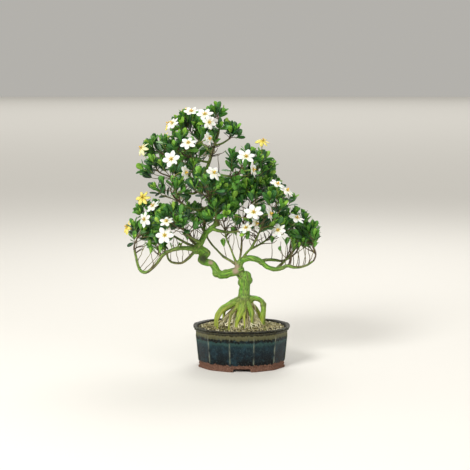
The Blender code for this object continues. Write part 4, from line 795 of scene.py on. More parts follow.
def glazed_stoneware():
    """Dark mottled glaze over bare clay."""
    material, add = new_material("glazed_stoneware", Specular_IOR_Level=0.14)
    place = add("TexCoord").outputs["Object"]
    height = add("SeparateXYZ", {0: place}).outputs["Z"]
    # runs about 4 mm wide and three times as long
    stretched = add("Mapping", {0: place, "Scale": (1.0, 1.0, 0.35)})
    runs = add("TexNoise", {"Vector": stretched, "Scale": 240.0, "Detail": 3.0})
    centred = add("Math", {0: runs, 1: 0.5}, operation="SUBTRACT")
    wobble = add("Math", {0: centred, 1: DRIP_WOBBLE * 2}, operation="MULTIPLY")
    frayed = add("Math", {0: height, 1: wobble}, operation="ADD")
    share = add("Math", {0: frayed, 1: POT_HIGH}, operation="DIVIDE")
    bands = add("ValToRGB", {0: share}, stops=[
        (0.15, "0a0807"), (0.24, "0b0e10"), (0.42, "101a20"), (0.60, "14262b"), (0.685, "2b4540"),
        (0.715, "070806"), (0.765, "080805"), (0.785, "4b4a30"), (0.86, "5f5c3e"),
        (0.895, "100d09"), (0.925, "45402a"), (0.945, "120e0a"), (1.0, "2a2117")])
    # pools of blue and teal, 10 to 20 mm across, with specks of 1 mm in them
    pools = add("TexNoise", {"Vector": place, "Scale": 75.0, "Detail": 5.0, "Roughness": 0.65})
    pool_mask = add("MapRange", {0: pools, 1: 0.48, 2: 0.70, 3: 0.0, 4: 0.42})
    walls = add("MapRange", {0: height, 1: 0.074, 2: 0.066, 3: 0.0, 4: 1.0})
    pooled = add("Math", {0: pool_mask, 1: walls}, operation="MULTIPLY")
    blue = add("Mix", {"Factor": pooled, "A": bands, "B": "2c4c57"}, data_type="RGBA")
    specks = add("TexNoise", {"Vector": place, "Scale": 900.0, "Detail": 2.0})
    speck_mask = add("MapRange", {0: specks, 1: 0.60, 2: 0.72, 3: 0.0, 4: 0.30})
    speckled = add("Mix", {"Factor": speck_mask, "A": blue, "B": "7f9a94"}, data_type="RGBA")
    thin = add("Attribute", attribute_name="thin").outputs["Fac"]
    ragged = add("MapRange", {0: runs, 1: 0.36, 2: 0.62, 3: 0.0, 4: 1.0})
    broken = add("Math", {0: thin, 1: ragged}, operation="MULTIPLY")
    ribbed = add("Mix", {"Factor": broken, "A": speckled, "B": "747a68"}, data_type="RGBA")
    # bare clay below the glaze line, with grog of about 1 mm
    grog = add("TexNoise", {"Vector": place, "Scale": 700.0, "Detail": 4.0})
    clay = add("ValToRGB", {0: grog}, stops=[(0.30, "36261d"), (0.50, "66483a"), (0.70, "957260")])
    line = add("Math", {0: wobble, 1: CLAY_TOP}, operation="ADD")
    low = add("Math", {0: height, 1: line}, operation="LESS_THAN")
    colour = add("Mix", {"Factor": low, "A": ribbed, "B": clay}, data_type="RGBA")
    rough = add("MapRange", {0: low, 1: 0.0, 2: 1.0, 3: 0.22, 4: 0.86})
    swell = add("Math", {0: runs, 1: grog}, operation="ADD")
    bump = add("Bump", {"Height": swell, "Distance": 0.0004, "Strength": 0.35})
    return dress(material, Base_Color=colour, Roughness=rough, Normal=bump)


glaze = glazed_stoneware()
print("material", glaze.name)

# %% [markdown]
# ## The pot
# The real pot is cast in one piece: a twelve-cornered oval that widens upwards, a raised rib
# down each corner, a rolled lip with a groove under it, and a foot band with a notch in each
# side so that water runs out. A turned shape would lose the corners, so each height gets its own
# ring of points, and the rings are skinned. The notches and the drain holes are then cut out.

# %% The pot's wall
POT_CORNERS = 12
DEPTH_RATIO = 0.8
RIB_WIDE = 3.8 * MM
RIB_HIGH = 1.1 * MM
SIDE_BOW = 0.7 * MM
# where a side has points: close together near its corners, for the ribs
SIDE_STEPS = [0.0, 0.012, 0.024, 0.036, 0.06, 0.13, 0.25, 0.38, 0.5, 0.62, 0.75, 0.87, 0.94,
              0.964, 0.976, 0.988]
# half width and height in mm, share of the rib, how thin the glaze is, how oval the corners are;
# the last three are 0 where they are left out
POT_ROWS = [
    (0, 8), (40, 8), (75.2, 8), (76.4, 7.4),
    (76.9, 0.7), (77.6, 0), (88.6, 0), (89.4, 0.3),
    (89.7, 1.0), (89.7, 2.9), (89.2, 3.7), (87.9, 4.3),
    (87.5, 5.0), (87.6, 9.0), (87.9, 12.4), (88.6, 13.7, 0.3, 0.2),
    (89.0, 15.2, 0.8, 0.5), (89.3, 18.0, 1, 0.9), (90.4, 28.0, 1, 0.9),
    (91.5, 40.0, 1, 0.9), (92.6, 52.0, 1, 0.9), (93.6, 62.0, 1, 0.9),
    (94.2, 67.5, 1, 0.75), (94.6, 70.2, 0.5, 0.3, 0.05), (94.9, 73.0, 0, 0, 0.1),
    (95.2, 76.4, 0, 0, 0.15), (95.6, 77.8, 0, 0.1, 0.2), (96.9, 78.5, 0, 0.5, 0.25),
    (97.9, 79.1, 0, 0.8, 0.25), (98.1, 80.0, 0, 0.5, 0.25), (97.4, 81.0, 0, 0.1, 0.25),
    (96.6, 81.6, 0, 0, 0.25), (96.9, 82.1, 0, 0, 0.25), (98.8, 82.5, 0, 0.1, 0.3),
    (99.9, 83.3, 0, 0.7, 0.3), (100.2, 84.4, 0, 0.9, 0.3), (99.8, 85.4, 0, 0.6, 0.3),
    (98.8, 86.0, 0, 0.25, 0.3), (97.4, 86.1, 0, 0.1, 0.3), (95.6, 85.7, 0, 0.2, 0.3),
    (93.8, 84.8, 0, 0.35, 0.3), (92.2, 83.3, 0, 0.1, 0.25), (90.4, 81.2, 0, 0, 0.2),
    (89.4, 79.0, 0, 0, 0.1), (86.9, 60.0), (84.4, 40.0), (82.0, 20.0),
    (81.0, 16.6), (79.0, 16.0), (40, 16.0), (0, 16.0),
]


def oval_point(radius, angle):
    """A point on an oval as flat as the pot."""
    return Vector((radius * math.cos(angle), DEPTH_RATIO * radius * math.sin(angle), 0))


def pot_ring(half_wide, high, rib=0, thin=0, oval=0):
    """Points round the pot at one height, and how thin the glaze is at each."""
    long_radius = half_wide * MM / math.cos(math.pi / POT_CORNERS)
    corners = [oval_point(long_radius, 2 * math.pi * (index + 0.5) / POT_CORNERS)
               for index in range(POT_CORNERS)]
    points = []
    values = []
    for index, here in enumerate(corners):
        there = corners[(index + 1) % POT_CORNERS]
        side = (there - here).length
        for step in SIDE_STEPS:
            flat = here.lerp(there, step)
            angle = math.atan2(flat.y / DEPTH_RATIO, flat.x)
            mid_radius = (long_radius + half_wide * MM) / 2
            flat = flat.lerp(oval_point(mid_radius, angle), oval)
            away = min(step, 1 - step) * side
            crest = max(0.0, math.cos(min(1.0, away / (RIB_WIDE / 2)) * math.pi / 2))
            push = crest * RIB_HIGH * rib + SIDE_BOW * 4 * step * (1 - step) * (1 - oval)
            if half_wide > 0:
                flat += flat.normalized() * push * min(1.0, half_wide / 80)
            points.append(Vector((flat.x + POT_X, flat.y + POT_Y, high * MM)))
            ends = 0.25 + 0.95 * abs(math.cos(angle)) ** 4
            values.append(thin * crest if rib > 0 else thin * ends)
    return points, values


def make_pot():
    """The pot's wall, lip, foot and floor as one closed skin."""
    bm = bmesh.new()
    layer = bm.verts.layers.float.new("thin")
    rings = [pot_ring(*row) for row in POT_ROWS]
    wrap(bm, [ring[0] for ring in rings], [ring[1] for ring in rings], layer)
    bmesh.ops.recalc_face_normals(bm, faces=bm.faces[:])
    return finish_piece("pot_glazed", bm, [glaze], ["pot"])


pot = make_pot()

# %% Notches and drain holes
# sizes in millimetres; each box, given across and deep, cuts two notches that face each other
NOTCH_HIGH = 6.5
NOTCH_ROUND = 3.0
NOTCH_SIZES = [(36.0, 400.0), (400.0, 28.0)]
DRAIN_X = 42.0
DRAIN_RADIUS = 7.0
SHARP_ANGLE = 38


def settle(made):
    """Keeps the outcome of an object's modifiers as its mesh."""
    graph = bpy.context.evaluated_depsgraph_get()
    made.data = bpy.data.meshes.new_from_object(made.evaluated_get(graph))
    made.modifiers.clear()


def cut_away(target, name, bm):
    """Takes a closed shape out of the target, applies the cut and removes the cutter."""
    cutter = show(name, end_mesh(name, bm))
    modifier = target.modifiers.new("cut", "BOOLEAN")
    modifier.operation = "DIFFERENCE"
    modifier.object = cutter
    modifier.solver = "MANIFOLD"
    settle(target)
    bpy.data.objects.remove(cutter, do_unlink=True)


for wide, deep in NOTCH_SIZES:
    bm = bmesh.new()
    bmesh.ops.create_cube(bm, size=1)
    bmesh.ops.scale(bm, vec=(wide * MM, deep * MM, 2 * NOTCH_HIGH * MM), verts=bm.verts[:])
    across = 1 if wide < deep else 0
    upper = [edge for edge in bm.edges if all(v.co.z > 0 for v in edge.verts)
             and abs(edge.verts[0].co[across] - edge.verts[1].co[across]) > 0.1]
    bmesh.ops.bevel(bm, geom=upper, offset=NOTCH_ROUND * MM, segments=5, affect="EDGES", profile=0.5,
                    material=-1)
    bmesh.ops.translate(bm, vec=(POT_X, POT_Y, 0), verts=bm.verts[:])
    cut_away(pot, "notch", bm)
for side in (-1, 1):
    bm = bmesh.new()
    bmesh.ops.create_cone(bm, cap_ends=True, segments=32, radius1=DRAIN_RADIUS * MM,
                          radius2=DRAIN_RADIUS * MM, depth=30 * MM,
                          matrix=Matrix.Translation((POT_X + side * DRAIN_X * MM, POT_Y, 12 * MM)))
    cut_away(pot, "drain", bm)
pot.data.set_sharp_from_angle(angle=math.radians(SHARP_ANGLE))
print("pot faces after the cuts", len(pot.data.polygons))

# %% [markdown]
# ## The drain meshes
# Under the soil a square of moulded plastic mesh keeps the grit from falling out of each hole.
# The frame's own shape is right for it, so it only gets its material: black polyethylene with
# the faint waviness of a thin moulding.

# %% Moulded black plastic
def moulded_plastic():
    """Black plastic, slightly wavy."""
    material, add = new_material("moulded_black_polyethylene", Roughness=0.55)
    place = add("TexCoord").outputs["Object"]
    waves = add("TexNoise", {"Vector": place, "Scale": 400.0})
    tone = add("ValToRGB", {0: waves}, stops=[(0.3, "0e0e0f"), (0.7, "1c1c1e")])
    bump = add("Bump", {"Height": waves, "Distance": 0.0002})
    return dress(material, Base_Color=tone, Normal=bump)


plastic = moulded_plastic()
for word in ("left", "right"):
    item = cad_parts["drain_mesh_" + word]
    item.data.materials.clear()
    item.data.materials.append(plastic)
print("drain meshes dressed")

# %% [markdown]
# ## Tubes
# Roots, fibres, stalks and twigs are all rods that bend and taper. A frame is carried along the
# path so that the rod doesn't twist, each point gets a ring, and the two ends close to a point.

# %% Rods that bend and taper
def smooth_path(path, radii, step):
    """Points about step metres apart on a curve through the path's points, with their radii."""
    points = [path[0]]
    sizes = [radii[0]]
    last = len(path) - 1
    for index in range(last):
        here = path[index]
        there = path[index + 1]
        before = path[max(index - 1, 0)]
        after = path[min(index + 2, last)]
        reach = (there - here).length
        span = max((there - before).length, MERGE)
        next_span = max((after - here).length, MERGE)
        count = max(1, round(reach / step))
        row = curve_points(here, (there - before) / span * reach, there,
                           (after - here) / next_span * reach, count)
        points.extend(row[1:])
        for k in range(1, count + 1):
            t = k / count
            ease = t * t * (3 - 2 * t)
            sizes.append(radii[index] + (radii[index + 1] - radii[index]) * ease)
    return points, sizes


def tube(bm, path, radii, sides, values=None, layer=None, material=0):
    """A closed rod along a path; values, if given, hold one number for each ring."""
    way = (path[1] - path[0]).normalized()
    side = way.orthogonal().normalized()
    turns = [2 * math.pi * k / sides for k in range(sides)]
    rings = [[path[0].copy() for turn in turns]]
    for index, point in enumerate(path):
        ahead = path[min(index + 1, len(path) - 1)] - path[max(index - 1, 0)]
        new_way = ahead.normalized()
        side = way.rotation_difference(new_way) @ side
        side = (side - new_way * side.dot(new_way)).normalized()
        way = new_way
        other = way.cross(side)
        rings.append([point + (side * math.cos(turn) + other * math.sin(turn)) * radii[index]
                      for turn in turns])
    rings.append([path[-1].copy() for turn in turns])
    rows = values and [[value] * sides for value in [values[0]] + list(values) + [values[-1]]]
    wrap(bm, rings, rows, layer, material)


def strand(bm, layer, path, size, step, sides, tone):
    """A rod of one thickness and one tone."""
    path, radii = smooth_path(path, [size] * len(path), step)
    tube(bm, path, radii, sides, [tone] * len(path), layer)


print("tube helpers ready")

# %% [markdown]
# ## The soil
# Bonsai soil is a sieved mix of pumice, baked clay granules and bark, and after some years fine
# roots, dry fibres and moss cover it. The bed is one rough surface that closes the inside of the
# pot. On it lie loose grains, each a twenty-faced ball squeezed a little: at this size more
# faces would be wasted. Every grain keeps one random number, and the material turns it into the
# colour of one of the mix's parts.

# %% Soil materials
def granules():
    """Pumice, baked clay, bark and grit, one tone for each grain."""
    material, add = new_material("pumice_and_clay_granules", Roughness=0.92)
    grain = add("Attribute", attribute_name="grain").outputs["Fac"]
    tone = add("ValToRGB", {0: grain}, stops=[
        (0.0, "1d160f"), (0.16, "3b311d"), (0.32, "676236"), (0.48, "8a8650"), (0.62, "a79f72"),
        (0.76, "c4bb93"), (0.90, "ddd6bb")])
    tone.color_ramp.interpolation = "CONSTANT"
    place = add("TexCoord").outputs["Object"]
    # pores smaller than a millimetre
    pores = add("TexNoise", {"Vector": place, "Scale": 1300.0, "Detail": 2.0})
    shade = add("MapRange", {0: pores, 1: 0.3, 2: 0.7, 3: 0.72, 4: 1.12})
    colour = add("VectorMath", {0: tone, 1: shade}, operation="MULTIPLY")
    bump = add("Bump", {"Height": pores, "Distance": 0.0003, "Strength": 0.6})
    return dress(material, Base_Color=colour, Normal=bump)


def soil_bed():
    """Dark damp fines between the grains, greened by algae in places."""
    material, add = new_material("damp_soil_fines", Roughness=0.95)
    place = add("TexCoord").outputs["Object"]
    # crumbs of 3 mm
    crumbs = add("TexVoronoi", {"Vector": place, "Scale": 330.0})
    spots = add("TexNoise", {"Vector": place, "Scale": 90.0, "Detail": 4.0})
    mixed = add("Math", {0: crumbs, 1: spots}, operation="MULTIPLY")
    tone = add("ValToRGB", {0: mixed}, stops=[
        (0.0, "17120b"), (0.18, "30291a"), (0.32, "565230"), (0.5, "858052")])
    bump = add("Bump", {"Height": crumbs, "Distance": 0.001})
    return dress(material, Base_Color=tone, Normal=bump)


def moss():
    """Cushion moss, mottled from dark olive to yellow-green."""
    material, add = new_material("cushion_moss", Roughness=0.85)
    place = add("TexCoord").outputs["Object"]
    tufts = add("TexNoise", {"Vector": place, "Scale": 260.0, "Detail": 3.0})
    tone = add("ValToRGB", {0: tufts}, stops=[(0.30, "3f4a1c"), (0.50, "6f7c2a"), (0.70, "a0a648")])
    return dress(material, Base_Color=tone)


def dry_fibre():
    """Straw-coloured dead roots and needles."""
    material, add = new_material("dry_straw_fibre", Roughness=0.8)
    grain = add("Attribute", attribute_name="grain").outputs["Fac"]
    tone = add("ValToRGB", {0: grain}, stops=[(0.0, "7c7040"), (0.5, "bdb07a"), (1.0, "e4dcb8")])
    return dress(material, Base_Color=tone)


granule_mix = granules()
fines = soil_bed()
cushion = moss()
straw = dry_fibre()
print("soil materials ready")

# %% The soil's bed
SOIL_RINGS = 30
SOIL_HALF = 89.0
# half width and height in mm of the rings under its surface
BED_ROWS = [(88.6, 74.0), (86.0, 60.0), (83.8, 40.0), (81.6, 20.0), (80.4, 17.0), (40.0, 16.4), (0.0, 16.4)]
DETAIL_SEED = 77
detail = random.Random(DETAIL_SEED)


def ground(x, y):
    """Height of the rough soil at a world place."""
    bumps = noise.noise(Vector((x * 190, y * 190, 1.3))) * 0.9 * MM
    return soil_height(x - POT_X, y - POT_Y) + bumps


def make_bed():
    """The closed body of soil that fills the pot."""
    bm = bmesh.new()
    rings = []
    for index in range(SOIL_RINGS + 1):
        ring = pot_ring(SOIL_HALF * index / SOIL_RINGS, 0, oval=0.1)[0]
        rings.append([Vector((p.x, p.y, ground(p.x, p.y))) for p in ring])
    for half, high in BED_ROWS:
        rings.append(pot_ring(half, high, oval=0.05)[0])
    wrap(bm, rings)
    bmesh.ops.recalc_face_normals(bm, faces=bm.faces[:])
    return finish_piece("soil_surface", bm, [fines], ["soil"])


def on_soil(spread):
    """A random place on the soil, the share of the edge it may reach given."""
    angle = detail.uniform(0, 2 * math.pi)
    far = math.sqrt(detail.random()) * spread
    x = POT_X + far * SOIL_HALF * MM * math.cos(angle)
    y = POT_Y + far * SOIL_HALF * DEPTH_RATIO * MM * math.sin(angle)
    return Vector((x, y, ground(x, y)))


make_bed()

# %% Loose grains, fibres and moss
# sizes in millimetres and turns in radians
GRAINS = 2600
GRAIN_RADII = (0.8, 1.0, 1.2, 1.4, 1.7, 2.1)
# how much a grain is stretched along each of its three sides, and how far round it may be turned
GRAIN_SHAPE = ((0.75, 1.25), (0.75, 1.2), (0.6, 0.95))
GRAIN_TURN = 6.28
FIBRES = 300
FIBRE_POINTS = 6
FIBRE_LONG = (6, 22)
FIBRE_RADIUS = (0.22, 0.5)
FIBRE_RAISED = (0.8, 3.2)
FIBRE_TURN = 0.45
# share of the bed that fibres keep to
FIBRE_BED = 0.96
MOSS_PATCHES = 40
PATCH_WIDE = (3, 8)
# moss leaves for each millimetre of a patch, their height, radius and lean
MOSS_LEAVES = 9
MOSS_HIGH = (1.6, 3.0)
MOSS_RADIUS = 0.7
MOSS_LEAN = 0.5
# middle of the roots, and how far from it the soil is darker, in metres
ROOT_MIDDLE = spot(241.5, 318, 0)
ROOT_SPREAD = 0.062


def make_grains():
    """Loose grains, each squeezed and turned its own way."""
    bm = bmesh.new()
    layer = bm.verts.layers.float.new("grain")
    for index in range(GRAINS):
        place = on_soil(0.975)
        size = detail.choice(GRAIN_RADII) * MM
        shape = Matrix.Diagonal((*[detail.uniform(*ends) for ends in GRAIN_SHAPE], 1))
        turn = detail.uniform(0, GRAIN_TURN)
        turn = Matrix.Rotation(turn, 4, shake(detail, 1, 1, 1).normalized())
        place.z += size * detail.uniform(0.0, 0.6)
        made = bmesh.ops.create_icosphere(bm, subdivisions=1, radius=size,
                                          matrix=Matrix.Translation(place) @ turn @ shape)
        # darker towards the middle of the roots
        away = math.hypot(place.x - ROOT_MIDDLE.x, (place.y - ROOT_MIDDLE.y) / DEPTH_RATIO)
        tone = detail.random() * min(1.0, 0.35 + 0.65 * away / ROOT_SPREAD)
        for vert in made["verts"]:
            vert[layer] = tone
    return finish_piece("soil_grains", bm, [granule_mix])


def make_fibres():
    """Dry fibres that lie over the grains."""
    bm = bmesh.new()
    layer = bm.verts.layers.float.new("grain")
    for index in range(FIBRES):
        start = on_soil(0.9)
        angle = detail.uniform(0, 2 * math.pi)
        long = detail.uniform(*FIBRE_LONG) * MM
        path = []
        for step in range(FIBRE_POINTS):
            x = start.x + math.cos(angle) * long * step / (FIBRE_POINTS - 1)
            y = start.y + math.sin(angle) * long * step / (FIBRE_POINTS - 1)
            inside = ((x - POT_X) / (SOIL_HALF * FIBRE_BED * MM)) ** 2
            inside += ((y - POT_Y) / (SOIL_HALF * FIBRE_BED * DEPTH_RATIO * MM)) ** 2
            if inside > 1:
                break
            path.append(Vector((x, y, ground(x, y) + detail.uniform(*FIBRE_RAISED) * MM)))
            angle += detail.uniform(-FIBRE_TURN, FIBRE_TURN)
        if len(path) < 3:
            continue
        size = detail.uniform(*FIBRE_RADIUS) * MM
        strand(bm, layer, path, size, 3 * MM, 4, detail.random())
    return finish_piece("soil_fibres", bm, [straw])


def make_moss():
    """Cushions of moss: low domes of many small upright leaves."""
    bm = bmesh.new()
    for patch in range(MOSS_PATCHES):
        middle = on_soil(0.8)
        wide = detail.uniform(*PATCH_WIDE) * MM
        for index in range(int(wide / MM * MOSS_LEAVES)):
            angle = detail.uniform(0, 2 * math.pi)
            far = math.sqrt(detail.random()) * wide
            x = middle.x + math.cos(angle) * far
            y = middle.y + math.sin(angle) * far
            high = detail.uniform(*MOSS_HIGH) * MM * (1.25 - far / wide)
            lean = Matrix.Rotation(detail.uniform(-MOSS_LEAN, MOSS_LEAN), 4, "X")
            lean = lean @ Matrix.Rotation(detail.uniform(-MOSS_LEAN, MOSS_LEAN), 4, "Y")
            base = Matrix.Translation((x, y, ground(x, y) + high * 0.5))
            bmesh.ops.create_cone(bm, cap_ends=True, segments=3, radius1=MOSS_RADIUS * MM,
                                  radius2=0, depth=high * 1.6, matrix=base @ lean)
    return finish_piece("moss_cushions", bm, [cushion])


make_grains()
make_fibres()
make_moss()
print("soil dressed")

# %% [markdown]
# ## Bark
# Young gardenia bark is smooth and green, with fine ridges along the branch, small pale
# lenticels, and brown cork that starts at forks and on old wood. All the branches and roots
# are laid down as overlapping rods and then remeshed into one skin, so that forks flow into each
# other as they do on a tree that grew. The ridges follow the wood: every point of the skin knows
# the nearest place on the nearest branch, and that gives it a direction round and a length along.

# %% Bark material
def gardenia_bark():
    """Green ridged bark with brown cork, pale scars and painted shade in the old hollows."""
    material, add = new_material("gardenia_bark", Roughness=0.62)
    flow = add("Attribute", attribute_name="flow").outputs["Vector"]
    # ridges 1 mm wide and about six times as long; the flow is measured in millimetres
    ridges = add("TexNoise", {"Vector": flow, "Scale": 0.9, "Detail": 4.0})
    patches = add("TexNoise", {"Vector": flow, "Scale": 0.16, "Detail": 4.0, "Roughness": 0.6})
    green = add("ValToRGB", {0: ridges}, stops=[
        (0.34, "2f4f16"), (0.45, "4f7d1e"), (0.56, "6fa427"), (0.68, "93b844")])
    brown = add("ValToRGB", {0: ridges}, stops=[(0.34, "382f1e"), (0.50, "665c38"), (0.66, "958c5c")])
    cork = add("Attribute", attribute_name="cork").outputs["Fac"]
    lumps = add("MapRange", {0: patches, 1: 0.38, 2: 0.68, 3: -0.42, 4: 0.42})
    worn = add("Math", {0: cork, 1: lumps}, operation="ADD", use_clamp=True)
    colour = add("Mix", {"Factor": worn, "A": green, "B": brown}, data_type="RGBA")
    # pale scars, yellow-green where a root goes into the soil, and painted shade, nearly black, in the old
    # hollows
    for name, code in (("scar", "a08c76"), ("fresh", "a9b838"), ("hollow_shade", "29300f")):
        share = add("Attribute", attribute_name=name).outputs["Fac"]
        colour = add("Mix", {"Factor": share, "A": colour, "B": code}, data_type="RGBA")
    bump = add("Bump", {"Height": ridges, "Distance": 0.0007, "Strength": 0.7})
    return dress(material, Base_Color=colour, Normal=bump)


bark = gardenia_bark()
print("material", bark.name)

# %% One skin over all the wood
# sizes in millimetres
VOXEL = 1.15
ROD_STEP = 3.0
RIDGE_HIGH = 0.45
SKIN_THICK = 0.22
SWELL_HIGH = 1.4
# how fine the ridges are, in turns of noise for each millimetre, and the swellings, for each metre
RIDGE_FINE = (0.55, 1.3)
SWELL_FINE = (55, 120)
# radii in millimetres from which on the relief is full, and between which wood counts as slender
FULL_RELIEF = 5
SLENDER = (2.8, 5.4)
# how the pattern moves on for each millimetre along the wood
FLOW_WAY = Vector((0.10, 0.07, 0.12))
# how much stronger the relief is on roots
ROOT_ROUGH = 1.7
# heights in metres between which the roots turn yellow-green
ROOT_TOP = 0.146
ROOT_LOW = 0.104


def placed(marks):
    """Middle and radius in metres of marks given by across, down, depth and radius in pixels."""
    return [(spot(*mark[:3]), mark[3] * PIXEL * MM) for mark in marks]


# lumps where old wood was cut
KNOBS = placed([
    (246.0, 275.6, -1, 5.2), (242.4, 282.0, 1, 4.6), (248.8, 279.8, 0, 3.8), (239.8, 269.6, -1, 4.5),
    (238.8, 264.6, -1, 3.9), (216.5, 272.5, -8, 4.4), (201.6, 259.0, -8, 4.0), (206.6, 252.6, -2, 4.0),
    (196.6, 249.6, -3, 4.5), (217.0, 222.5, 4, 3.4), (244.0, 299.5, 0, 7.2), (238.6, 301.2, -4, 4.6),
    (250.5, 298.5, 1, 3.9), (243.5, 306.0, -12, 5.0), (263.2, 304.0, -2, 3.2), (261.0, 261.4, -9, 3.0),
    (205.4, 187.0, 2, 2.6), (226.0, 273.4, -6, 4.6)
])
# pale places where a branch was taken off
SCARS = placed([
    (235.2, 270.5, -9, 3.3), (236.4, 266.0, -7, 2.8), (235.0, 262.6, -4, 1.8), (210.8, 261.8, -14, 2.6)
])
# painted shade: dark patches where shade falls in the hollows of the old wood
SHADED_HOLLOWS = placed([(203.6, 258.2, -17, 4.6), (238.4, 275.6, -8, 1.6), (241.2, 259.4, -6, 1.4)])


def wood_rods():
    """The smoothed rods of every branch and root, with whether each is a root."""
    rods = [(rod, False) for rod in wood.values()] + [(rod, True) for rod in roots.values()]
    return [(*smooth_path(*rod, ROD_STEP * MM), is_root) for rod, is_root in rods]


def make_bark():
    """Rods and knobs remeshed into one skin, then smoothed."""
    bm = bmesh.new()
    for points, sizes, is_root in wood_rods():
        tube(bm, points, sizes, 14)
    for place, radius in KNOBS:
        bmesh.ops.create_icosphere(bm, subdivisions=3, radius=radius, matrix=Matrix.Translation(place))
    made = finish_piece("tree_bark", bm, [bark], ["trunk"])
    modifier = made.modifiers.new("skin", "REMESH")
    modifier.mode = "VOXEL"
    modifier.voxel_size = VOXEL * MM
    modifier.use_smooth_shade = True
    settle(made)
    bm = bmesh.new()
    bm.from_mesh(made.data)
    for turn in range(3):
        bmesh.ops.smooth_vert(bm, verts=bm.verts[:], factor=0.5, use_axis_x=True, use_axis_y=True,
                              use_axis_z=True)
    bm.normal_update()
    return made, bm


def marked(point, marks, start, fall, most):
    """How strongly a point lies under the nearest of some marks, which fades with distance."""
    return max(max(0.0, min(most, start - fall * (point - place).length / radius))
               for place, radius in marks)


def grow_ridges(made, bm):
    """Raises ridges along the wood and stores what the material needs at each point."""
    rows = []
    offset = 0.0
    for points, sizes, is_root in wood_rods():
        far = offset
        for index, point in enumerate(points):
            if index:
                far += (point - points[index - 1]).length / MM
            way = points[min(index + 1, len(points) - 1)] - points[max(index - 1, 0)]
            rows.append((point, sizes[index], far, is_root, way.normalized()))
        offset = far + 50
    near = KDTree(len(rows))
    for index, row in enumerate(rows):
        near.insert(row[0], index)
    near.balance()
    flow = []
    moved = []
    values = {"cork": [], "scar": [], "fresh": [], "hollow_shade": []}
    for vert in bm.verts:
        best = min(near.find_n(vert.co, 5), key=lambda hit: (vert.co - hit[0]).length / rows[hit[1]][1])
        point, size, far, is_root, way = rows[best[1]]
        out = vert.co - point
        out -= way * out.dot(way)
        ahead = far + (vert.co - point).dot(way) / MM
        here = out.normalized() * size / MM + FLOW_WAY * ahead
        flow.append(here)
        ridge = noise.noise(here * RIDGE_FINE[0])
        ridge += 0.5 * noise.noise(here * RIDGE_FINE[1] + Vector((9, 0, 0)))
        swell = 0.6 * noise.noise(vert.co * SWELL_FINE[0])
        swell += 0.35 * noise.noise(vert.co * SWELL_FINE[1])
        strength = min(1.0, size / (FULL_RELIEF * MM)) * (ROOT_ROUGH if is_root else 1.0)
        moved.append((SKIN_THICK + (RIDGE_HIGH * ridge + swell * SWELL_HIGH) * strength) * MM)
        slender = (SLENDER[1] * MM - size) / ((SLENDER[1] - SLENDER[0]) * MM)
        slender = max(0.0, min(1.0, slender))
        cork = 0.14 + 0.62 * slender + 0.55 * marked(vert.co, KNOBS, 1.25, 0.8, 1.0)
        low = (ROOT_TOP - vert.co.z) / (ROOT_TOP - ROOT_LOW) if is_root else 0.0
        speckle = 0.5 + 0.9 * noise.noise(here * 0.35)
        values["cork"].append(min(1.0, cork + 0.20 * is_root))
        values["scar"].append(marked(vert.co, SCARS, 1.7, 1.3, 1.0))
        values["fresh"].append(max(0.0, min(0.8, low * speckle)))
        # painted shade in the hollows of the old wood
        values["hollow_shade"].append(marked(vert.co, SHADED_HOLLOWS, 1.5, 1.2, 0.9))
    for vert, push in zip(bm.verts, moved):
        vert.co += vert.normal * push
    bm.to_mesh(made.data)
    bm.free()
    attribute = made.data.attributes.new("flow", "FLOAT_VECTOR", "POINT")
    attribute.data.foreach_set("vector", np.array(flow, np.float32).ravel())
    for name, numbers in values.items():
        set_values(made, name, numbers)
    made.data.calc_loop_triangles()
    print("bark triangles", len(made.data.loop_triangles))


tree_bark, skin = make_bark()
grow_ridges(tree_bark, skin)

# %% [markdown]
# ## Fine roots
# The tree is grown over its pot, and between the thick roots hang many thin ones, pale and dry
# where they meet the air. Each is a thin rod that leaves the base of the trunk, sags outwards and
# goes into the soil.

# %% Thin strands from the trunk's base
STRANDS = 100
STRAND_POINTS = 8
# where they leave the trunk in pixels, and how far from its middle in millimetres
STRAND_ACROSS = (238, 251)
STRAND_DOWN = (298.5, 305)
STRAND_OUT = (3, 9)
# how far the ends spread, across and deep, and how far they go down, in millimetres
STRAND_SPREAD = (46, 36)
STRAND_DEEP = 3
# radii in millimetres; each ninth strand is a thick one
THIN_STRAND = (0.5, 1.05)
THICK_STRAND = (1.2, 1.8)
THICK_EACH = 9


def root_skin():
    """Dry yellow-tan skin of thin roots, with some green."""
    material, add = new_material("dry_root_skin", Roughness=0.75)
    place = add("TexCoord").outputs["Object"]
    spots = add("TexNoise", {"Vector": place, "Scale": 120.0, "Detail": 3.0})
    grain = add("Attribute", attribute_name="grain").outputs["Fac"]
    mixed = add("Mix", {"Factor": 0.4, "A": grain, "B": spots})
    tone = add("ValToRGB", {0: mixed}, stops=[
        (0.12, "4e4a22"), (0.34, "7d8034"), (0.52, "ad9c5c"), (0.70, "d8cc98"), (0.85, "ebe4c4")])
    bump = add("Bump", {"Height": spots, "Distance": 0.0005})
    return dress(material, Base_Color=tone, Normal=bump)


